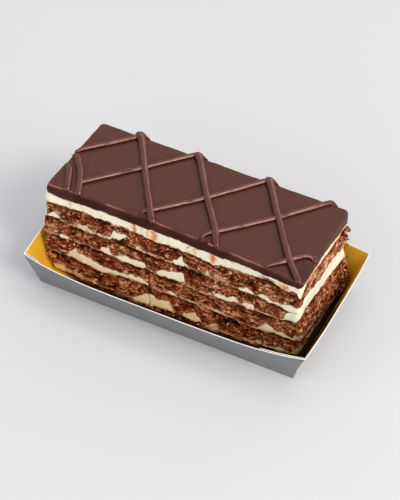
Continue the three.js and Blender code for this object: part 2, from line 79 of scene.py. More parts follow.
def value_noise(points: Array, size: float, seed: int) -> Array:
    """Soft noise: random values on a cubic lattice, blended by a smooth step along each axis.

    Args:
        points: Places, shape (..., 3).
        size: Spacing of the lattice in the places' unit.
        seed: Which noise.

    Returns:
        Values from -1 to 1, shape (...).
    """
    scaled = points / size
    base = np.floor(scaled)
    part = scaled - base
    part = part * part * (3 - 2 * part)
    total = np.zeros(points.shape[:-1])
    for corner in itertools.product((0, 1), repeat=3):
        weight = np.prod(np.where(np.array(corner) == 1, part, 1 - part), axis=-1)
        total += weight * hash_unit(base + np.array(corner), seed)
    return 2 * total - 1


def cell_noise(points: Array, size: float, seed: int) -> Array:
    """Distance to the nearest of the random centres, one in each cubic cell, in cell sizes.

    Args:
        points: Places, shape (..., 3).
        size: Width of a cell.
        seed: Which set of centres.

    Returns:
        Distances, about 0 to 1, shape (...).
    """
    scaled = points / size
    base = np.floor(scaled)
    nearest = np.full(points.shape[:-1], 9.0)
    for step in itertools.product((-1, 0, 1), repeat=3):
        cell = base + np.array(step)
        centre = cell + np.stack([hash_unit(cell, seed + k) for k in range(3)], axis=-1)
        nearest = np.minimum(nearest, ((scaled - centre) ** 2).sum(axis=-1))
    return np.sqrt(nearest)


def smoothstep(value: Array, low: float, high: float) -> Array:
    """0 below low, 1 above high, and a smooth cubic step between them."""
    share = np.clip((value - low) / (high - low), 0, 1)
    return share * share * (3 - 2 * share)


def lerp(start: Array, end: Array, share: Array) -> Array:
    """Straight blend from start to end."""
    return start + (end - start) * share


# ---- meshes ----------------------------------------------------------------------------------
def ring_surface(rows: Array, south: Array, north: Array) -> tuple[Array, list[Array]]:
    """A closed surface from rings stacked between two poles.

    Args:
        rows: Rings from the first pole to the last, shape (rows, columns, 3), anticlockwise as
            seen from the last pole.
        south: Place of the first pole.
        north: Place of the last pole.

    Returns:
        The points, and polygons as arrays of point numbers (quads, then the two fans).
    """
    count, columns = rows.shape[:2]
    points = np.vstack([rows.reshape(-1, 3), south, north])
    here = np.arange(columns)
    ahead = (here + 1) % columns
    base = (np.arange(count - 1) * columns)[:, None]
    quads = np.stack([base + here, base + ahead, base + columns + ahead, base + columns + here], axis=-1)
    last = (count - 1) * columns
    first_pole = np.full(columns, count * columns)
    south_fan = np.stack([first_pole, ahead, here], axis=-1)
    north_fan = np.stack([first_pole + 1, last + here, last + ahead], axis=-1)
    return points, [quads.reshape(-1, 4), south_fan, north_fan]


class Mark(Enum):
    """A value from 0 to 1 that a mesh holds at its points for its material to read."""

    # On the sponge sheets the tone holds painted shade in pores, hollows, the crack and under each cream, and
    # painted light at the right end.
    TONE = "tone"  # How pale the crumb is.
    SMEAR = "smear"  # Cream dragged over crumb, or chocolate over cream.
    CLEAN = "clean"  # Cream with no crumbs in it.
    STAIN = "stain"  # Coffee that ran over the cream.
    SIDE = "side"  # Painted shade on chocolate: its side faces, low parts and far flanks.
    EDGE = "edge"  # Painted highlight along chocolate's edge and a stroke's shoulder.
    PAINTED_CAKE_SHADE = "soaked"  # Painted shade on the board near the cake, which also stands in for the cake's dark reflection.
    WORN = "worn"  # Board worn through to its pulp.


def make_piece(
    name: str,
    points: Array,
    polygons: Sequence[Array],
    materials: Sequence[bpy.types.Material],
    marks: dict[Mark, Array],
    material_of: Array | None = None,
) -> bpy.types.Object:
    """Puts a mesh into the scene and lets it ride on the cake's one body.

    Args:
        name: Name of the object and its mesh.
        points: Places in millimetres, shape (n, 3).
        polygons: Arrays of point numbers, one array for each number of corners.
        materials: The piece's materials in slot order.
        marks: Values at the points, in their order. The points that they don't reach, which
            are a surface's two poles, get 0.
        material_of: Material number of each polygon, or None for the first on all.

    Returns:
        The new object.
    """
    mesh = bpy.data.meshes.new(name)
    corners = np.concatenate([p.ravel() for p in polygons]).astype(np.int32)
    sizes = np.concatenate([np.full(len(p), p.shape[1]) for p in polygons])
    starts = np.concatenate([[0], np.cumsum(sizes)[:-1]]).astype(np.int32)
    mesh.vertices.add(len(points))
    mesh.vertices.foreach_set("co", (np.asarray(points) * MM).astype(np.float32).ravel())
    mesh.loops.add(len(corners))
    mesh.polygons.add(len(sizes))
    mesh.polygons.foreach_set("loop_start", starts)
    mesh.polygons.foreach_set("vertices", corners)
    for mark, values in marks.items():
        everywhere = np.zeros(len(points), np.float32)
        everywhere[: values.size] = values.ravel()
        mesh.attributes.new(mark.value, "FLOAT", "POINT").data.foreach_set("value", everywhere)
    for material in materials:
        mesh.materials.append(material)
    if material_of is not None:
        mesh.polygons.foreach_set("material_index", material_of.astype(np.int32))
    mesh.update(calc_edges=True)
    mesh.validate()
    mesh.shade_smooth()
    piece = bpy.data.objects.new(name, mesh)
    bpy.context.scene.collection.objects.link(piece)
    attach(piece, BODY)
    log.info("%s: %d points, %d faces", name, len(points), len(sizes))
    return piece


# ---- materials -------------------------------------------------------------------------------
def linear(colour: str) -> tuple[float, float, float, float]:
    """Turns an sRGB colour into a linear one by the standard's two-part curve.

    Args:
        colour: Hex colour such as '#8a4a2e'.

    Returns:
        Linear red, green and blue, and an alpha of 1.
    """
    parts = [int(colour[i : i + 2], 16) / 255 for i in (1, 3, 5)]
    red, green, blue = (p / 12.92 if p <= 0.04045 else ((p + 0.055) / 1.055) ** 2.4 for p in parts)
    return red, green, blue, 1.0


# A Mix node has sockets for every type of data, so those for colours go by number: input 0 is the
# share, 6 and 7 are the colours without it and with it, and output 2 is the result.
MIX_COLOURS = {"output": 2, "data_type": "RGBA"}


def add_node(
    tree: bpy.types.NodeTree,
    kind: str,
    inputs: dict[str | int, object] | None = None,
    output: str | int = 0,
    stops: Sequence[tuple[float, str]] = (),
    **settings: object,
) -> bpy.types.NodeSocket:
    """Adds a shader node with its settings and links.

    Args:
        tree: The material's node tree.
        kind: The node's type after 'ShaderNode', such as 'TexNoise'.
        inputs: For a socket's name or number, another node's output, a mark of the mesh, a hex
            colour or a plain value.
        output: Name or number of the output that is wanted.
        stops: Positions from 0 to 1 and hex colours, where the node is a colour ramp.
        **settings: Properties of the node itself.

    Returns:
        The wanted output.
    """
    node = tree.nodes.new(f"ShaderNode{kind}")
    for key, value in settings.items():
        setattr(node, key, value)
    for key, value in (inputs or {}).items():
        if isinstance(value, Mark):
            value = add_node(tree, "Attribute", output="Fac", attribute_name=value.value)
        if isinstance(value, bpy.types.NodeSocket):
            tree.links.new(value, node.inputs[key])
        else:
            node.inputs[key].default_value = linear(value) if isinstance(value, str) else value
    for _ in stops[2:]:
        node.color_ramp.elements.new(0.5)
    for number, (position, colour) in enumerate(stops):
        element = node.color_ramp.elements[number]
        element.position = position
        element.color = linear(colour)
    return node.outputs[output]


def noise_at(
    tree: bpy.types.NodeTree,
    size_mm: float,
    detail: float,
    reach: tuple[float, float] = (0.0, 1.0),
    stretch: tuple[float, float, float] = (1.0, 1.0, 1.0),
) -> bpy.types.NodeSocket:
    """Noise on the object's own coordinates, scaled from 0 and 1 to the values it may reach.

    Args:
        tree: The material's node tree.
        size_mm: Size of its largest spots.
        detail: How many finer octaves it has.
        reach: Its lowest and highest value.
        stretch: How much longer the spots are along each axis.

    Returns:
        The noise's socket.
    """
    place = add_node(tree, "TexCoord", output="Object")
    placed = add_node(tree, "Mapping", {"Vector": place, "Scale": tuple(1 / s for s in stretch)})
    noise = add_node(tree, "TexNoise", {"Vector": placed, "Scale": 1 / (size_mm * MM), "Detail": detail})
    low, high = reach
    return add_node(tree, "Math", {0: noise, 1: high - low, 2: low}, operation="MULTIPLY_ADD")


@dataclass(frozen=True)
class Finish:
    """A finish: a material whose shader each kind of finish sets up in its own way."""

    name: str

    def inputs(self, tree: bpy.types.NodeTree) -> dict[str | int, object]:
        """The shader's inputs by name, as add_node takes them."""
        raise NotImplementedError

    def make(self) -> bpy.types.Material:
        """Builds the material, with a Principled shader on its output.

        Returns:
            The material.
        """
        material = bpy.data.materials.new(self.name)
        material.use_nodes = True
        tree = material.node_tree
        tree.nodes.clear()
        shader = add_node(tree, "BsdfPrincipled", self.inputs(tree))
        tree.links.new(shader, tree.nodes.new("ShaderNodeOutputMaterial").inputs["Surface"])
        return material


@dataclass(frozen=True)
class SpongeFinish(Finish):
    """Almond sponge steeped in coffee: a moist, open crumb, dark in its pores by painted shade and paler on
    its tips.
    """

    name: str = "baked_coffee_sponge"
    stops: tuple[tuple[float, str], ...] = (
        (0.1, "#0f0200"), (0.3, "#3a1002"), (0.5, "#6d3013"), (0.7, "#a05c39"), (0.92, "#deb190"))
    smear: str = "#cf9f78"
    grain_mm: float = 0.7
    blotch_mm: float = 6.0

    def inputs(self, tree: bpy.types.NodeTree) -> dict[str | int, object]:
        """A ramp over the mesh's tone with fine grain and wide blotches, and cream smeared on.

        Args:
            tree: The material's node tree.

        Returns:
            The shader's inputs by name.
        """
        grain = noise_at(tree, self.grain_mm, 4.0, (-0.6, 0.6), (1.5, 1.5, 0.8))
        level = add_node(tree, "Math", {0: Mark.TONE, 1: grain})
        level = add_node(tree, "Math", {0: level, 1: noise_at(tree, self.blotch_mm, 2.0, (-0.25, 0.25))})
        crumb = add_node(tree, "ValToRGB", {"Fac": level}, stops=self.stops)
        pores = noise_at(tree, self.grain_mm / 2, 2.0)
        return {
            "Base Color": add_node(tree, "Mix", {0: Mark.SMEAR, 6: crumb, 7: self.smear}, **MIX_COLOURS),
            "Normal": add_node(tree, "Bump", {"Height": pores, "Strength": 0.6, "Distance": 0.2 * MM}),
            "Roughness": 0.8,
            "Specular IOR Level": 0.1,
        }


@dataclass(frozen=True)
class CreamFinish(Finish):
    """Coffee butter cream: smooth, pale and slightly see-through, tanned where crumbs mixed in."""

    name: str = "whipped_butter_cream"
    clean: str = "#f5ecd2"
    tanned: tuple[tuple[float, str], ...] = (
        (0.1, "#3a1507"), (0.4, "#94552f"), (0.65, "#c08a60"), (0.95, "#e6c2a0"))
    stained: tuple[tuple[float, str], ...] = ((0.3, "#f3d9b8"), (0.6, "#eab27c"), (0.9, "#cf7446"))
    smeared: str = "#6b3a2e"

    def inputs(self, tree: bpy.types.NodeTree) -> dict[str | int, object]:
        """Clean cream over its tanned film, then coffee stains and then smeared chocolate.

        The stains and smears are stronger and weaker in patches, and a stain's rim fades.

        Args:
            tree: The material's node tree.

        Returns:
            The shader's inputs by name.
        """
        speckle = noise_at(tree, 1.0, 4.0, (-0.55, 0.55))
        cleaner = {0: add_node(tree, "Math", {0: Mark.CLEAN, 1: speckle}), 1: 1.6, 2: -0.25}
        cleaner = add_node(tree, "Math", cleaner, operation="MULTIPLY_ADD", use_clamp=True)
        toned = add_node(tree, "Math", {0: Mark.TONE, 1: speckle})
        film = add_node(tree, "ValToRGB", {"Fac": toned}, stops=self.tanned)
        colour = add_node(tree, "Mix", {0: cleaner, 6: film, 7: self.clean}, **MIX_COLOURS)
        patches = noise_at(tree, 1.6, 3.0, (0.4, 1.6))
        stain, smear = (
            add_node(tree, "Math", {0: mark, 1: patches}, operation="MULTIPLY", use_clamp=True)
            for mark in (Mark.STAIN, Mark.SMEAR))
        cover = add_node(tree, "Math", {0: stain, 1: 3.0}, operation="MULTIPLY", use_clamp=True)
        coffee = add_node(tree, "ValToRGB", {"Fac": stain}, stops=self.stained)
        colour = add_node(tree, "Mix", {0: cover, 6: colour, 7: coffee}, **MIX_COLOURS)
        ripple = noise_at(tree, 0.9, 3.0)
        return {
            "Base Color": add_node(tree, "Mix", {0: smear, 6: colour, 7: self.smeared}, **MIX_COLOURS),
            "Normal": add_node(tree, "Bump", {"Height": ripple, "Strength": 0.3, "Distance": 0.15 * MM}),
            "Roughness": 0.5,
            "Subsurface Weight": 0.2,
            "Subsurface Radius": (1.0, 0.75, 0.5),
            "Subsurface Scale": 1.2 * MM,
        }


@dataclass(frozen=True)
class GlazeFinish(Finish):
    """Dark chocolate: satin where it was poured and glossier where it was piped.

    Painted shade darkens its sides and low parts, and a painted highlight lies along its edges and shoulders.
    """

    deep: str
    pale: str
    roughness: float
    gloss: float
    # The colours of the painted shade and of the painted highlight.
    side: str = "#34150d"
    edge: str = "#a8705f"
    sheen: str = "#ffd8cc"

    def inputs(self, tree: bpy.types.NodeTree) -> dict[str | int, object]:
        """Faint clouds in its colour, its shaded sides and gleams, and a low, wide ripple.

        Args:
            tree: The material's node tree.

        Returns:
            The shader's inputs by name.
        """
        clouds = noise_at(tree, 9.0, 3.0)
        colour = add_node(tree, "Mix", {0: clouds, 6: self.deep, 7: self.pale}, **MIX_COLOURS)
        colour = add_node(tree, "Mix", {0: Mark.SIDE, 6: colour, 7: self.side}, **MIX_COLOURS)
        ripple = noise_at(tree, 2.6, 3.0)
        return {
            "Base Color": add_node(tree, "Mix", {0: Mark.EDGE, 6: colour, 7: self.edge}, **MIX_COLOURS),
            "Normal": add_node(tree, "Bump", {"Height": ripple, "Strength": 0.12, "Distance": 0.3 * MM}),
            "Roughness": self.roughness,
            "Specular IOR Level": self.gloss,
            "Specular Tint": self.sheen,
        }


@dataclass(frozen=True)
class FoilFinish(Finish):
    """Foil-laminated board: a rolled metal film with a faint pull from the folding.

    It is darkened by painted shade near the cake, and white where a corner has worn through to the pulp.
    """

    colour: str
    roughness: float
    metallic: float
    streak: float = 0.06
    # Colour of the painted shade near the cake.
    soaked: str = "#33200c"
    worn: str = "#f6f2ea"

    def inputs(self, tree: bpy.types.NodeTree) -> dict[str | int, object]:
        """Its colour with painted shade near the cake and worn places, and long faint streaks in its gloss.

        Args:
            tree: The material's node tree.

        Returns:
            The shader's inputs by name.
        """
        colour = add_node(tree, "Mix", {0: Mark.PAINTED_CAKE_SHADE, 6: self.colour, 7: self.soaked}, **MIX_COLOURS)
        pull = noise_at(tree, 7.0, 2.0)
        streaks = (self.roughness - self.streak, self.roughness + self.streak)
        return {
            "Base Color": add_node(tree, "Mix", {0: Mark.WORN, 6: colour, 7: self.worn}, **MIX_COLOURS),
            "Normal": add_node(tree, "Bump", {"Height": pull, "Strength": 0.15, "Distance": 0.3 * MM}),
            "Roughness": noise_at(tree, 1.5, 3.0, streaks, (12.0, 12.0, 1.0)),
            "Metallic": self.metallic,
        }


@dataclass(frozen=True)
class CutEdgeFinish(Finish):
    """The bare pulp of a die-cut board edge: white, matt and slightly furry."""

    name: str = "cut_board_edge"
    colour: str = "#fffdf8"
    between: str = "#ece7dd"

    def inputs(self, tree: bpy.types.NodeTree) -> dict[str | int, object]:
        """Short fibres, paler than the pulp between them, as colour and bump.

        Args:
            tree: The material's node tree.

        Returns:
            The shader's inputs by name.
        """
        fibres = noise_at(tree, 0.5, 3.0, stretch=(4.0, 4.0, 1.0))
        return {
            "Base Color": add_node(tree, "Mix", {0: fibres, 6: self.between, 7: self.colour}, **MIX_COLOURS),
            "Normal": add_node(tree, "Bump", {"Height": fibres, "Strength": 0.4, "Distance": 0.1 * MM}),
            "Roughness": 0.9,
        }


@dataclass(frozen=True)
class LaminateFinish(Finish):
    """White laminate of a table top: plain, even and matt, so it shows only soft shadows."""

    name: str = "matt_white_laminate"
    colour: str = "#dcdcdd"

    def inputs(self, tree: bpy.types.NodeTree) -> dict[str | int, object]:
        """Constants, as it has no pattern."""
        return {"Base Color": self.colour, "Roughness": 0.9, "Specular IOR Level": 0.1}


# ---- the block of cake -----------------------------------------------------------------------
@dataclass(frozen=True)
class Plan:
    """The block's outline at one height: its corners, front left first, and its front's bow."""

    z: float
    corners: tuple[tuple[float, float], ...]
    front_bow: float


PROFILE = (
    Plan(1.0, ((-54.8, -19.6), (53.2, -18.0), (54.3, 25.0), (-54.7, 25.4)), -2.7),
    Plan(8.0, ((-56.9, -19.9), (54.6, -18.3), (55.7, 25.4), (-56.6, 25.8)), -1.4),
    Plan(15.0, ((-58.7, -19.4), (54.2, -18.8), (55.4, 25.6), (-57.9, 26.2)), -0.4),
    Plan(22.0, ((-59.0, -18.3), (52.7, -19.1), (53.3, 25.2), (-57.9, 26.3)), 0.2),
    Plan(33.0, ((-58.2, -16.8), (53.1, -19.3), (53.8, 24.9), (-56.9, 26.1)), 1.1),
    Plan(43.5, ((-57.3, -15.6), (53.5, -19.4), (53.7, 24.4), (-55.6, 25.8)), 2.1),
)


@dataclass(frozen=True)
class CakeBlock:
    """The cut block. It squats: it swells over the tray's ends and is hollow at its right cut.

    Its plan is blended between the heights of the profile, and a bow pushes the middle of the
    front along Y. Corners run front left, front right, back right, back left.
    """

    profile: tuple[Plan, ...] = PROFILE
    bottom: float = PROFILE[0].z
    top: float = PROFILE[-1].z
    crown: tuple[tuple[float, float], ...] = PROFILE[-1].corners
    length: float = 110.9
    width: float = 43.0
    corner_radius: float = 1.6
    spacing: float = 0.26
    end_dip: float = 2.6
    dip_start: float = 30.0
    dip_full: float = 12.0

    def outline(self) -> tuple[Array, Array, Array]:
        """Columns round the block, evenly spaced, from the front left corner anticlockwise.

        The outline is a rectangle with round corners: straight runs joined by quarter arcs.

        Returns:
            Shares along the length and the width, and outward directions, shape (n, 2).
        """
        r = self.corner_radius
        runs = [self.length - 2 * r, self.width - 2 * r] * 2
        arc = math.pi * r / 2
        total = sum(runs) + 4 * arc
        walk = np.linspace(0, total, round(total / self.spacing), endpoint=False)
        places = np.zeros((len(walk), 2))
        outward = np.zeros((len(walk), 2))
        centres = [(self.length - r, r), (self.length - r, self.width - r), (r, self.width - r), (r, r)]
        starts = [(r, 0.0), (self.length, r), (self.length - r, self.width), (0.0, self.width - r)]
        begin = 0.0
        for side, run in enumerate(runs):
            heading = math.pi / 2 * side
            along = np.array([math.cos(heading), math.sin(heading)])
            out = np.array([along[1], -along[0]])
            straight = (walk >= begin) & (walk < begin + run)
            places[straight] = np.array(starts[side]) + (walk[straight, None] - begin) * along
            outward[straight] = out
            begin += run
            bend = (walk >= begin) & (walk < begin + arc)
            angle = heading - math.pi / 2 + (walk[bend] - begin) / r
            outward[bend] = np.stack([np.cos(angle), np.sin(angle)], axis=-1)
            places[bend] = np.array(centres[side]) + r * outward[bend]
            begin += arc
        return places[:, 0] / self.length, places[:, 1] / self.width, outward

    def place(self, along: Array, across: Array, z: Array) -> Array:
        """Blends the four corners at each height by the two shares, then adds the bow.

        Args:
            along: Share of the length, 0 at the left end.
            across: Share of the width, 0 at the front.
            z: Height in millimetres.

        Returns:
            Places in millimetres, shape (..., 3).
        """
        heights = [plan.z for plan in self.profile]
        corners = np.array([plan.corners for plan in self.profile])
        plan = [[np.interp(z, heights, corners[:, k, axis]) for k in range(4)] for axis in range(2)]
        x, y = (lerp(lerp(p[0], p[1], along), lerp(p[3], p[2], along), across) for p in plan)
        bow = np.interp(z, heights, [plan.front_bow for plan in self.profile])
        return np.stack([x, y + bow * 4 * along * (1 - along) * (1 - across), z], axis=-1)

    def dip(self, along: Array, across: Array, z: Array) -> Array:
        """How far the layers sink towards the back of the right end.

        It is the product of a smooth step along the cake, one up to the height where the dip is
        full, and the share across.

        Args:
            along: Share of the length, 0 at the left end.
            across: Share of the width, 0 at the front.
            z: Height in millimetres.

        Returns:
            What is added to the height, 0 or less.
        """
        left, right = self.crown[0][0], self.crown[1][0]
        climb = smoothstep(z, self.bottom, self.dip_full)
        reach = smoothstep(lerp(left, right, along), self.dip_start, right)
        return -self.end_dip * climb * reach * np.clip(across, 0, 1)


@dataclass(frozen=True)
class Pocket:
    """A place on the back or the left end where the knife left more cream.

    Its middle and half width are distances round the block.
    """

    at: float
    half: float
    low: float
    high: float
    roundness: float = 1.6

    def fill(self, walk: Array) -> Array:
        """Share of its full size: 1 less a power of the distance from its middle, in half widths."""
        return 1 - np.clip(np.abs(walk - self.at) / self.half, 0, 1) ** self.roundness


@dataclass(frozen=True)
class CreamLayer:
    """One layer of cream.

    Low and high are its heights inside. Round the side it runs straight between stations, each
    (place, low, high, clean). A place is x along the front and the distance from the front left
    corner on the other sides. Clean is 1 for pure cream and falls as crumbs tan it.
    """

    low: float
    high: float
    front: tuple[tuple[float, float, float, float], ...]
    sides: tuple[tuple[float, float, float, float], ...]

    def course(self, left: float) -> Array:
        """Columns of distance, low, high and clean round the block, whose left end is at x left."""
        front = np.array(self.front) - np.array([left, 0, 0, 0])
        return np.vstack([front, np.array(self.sides)]).T


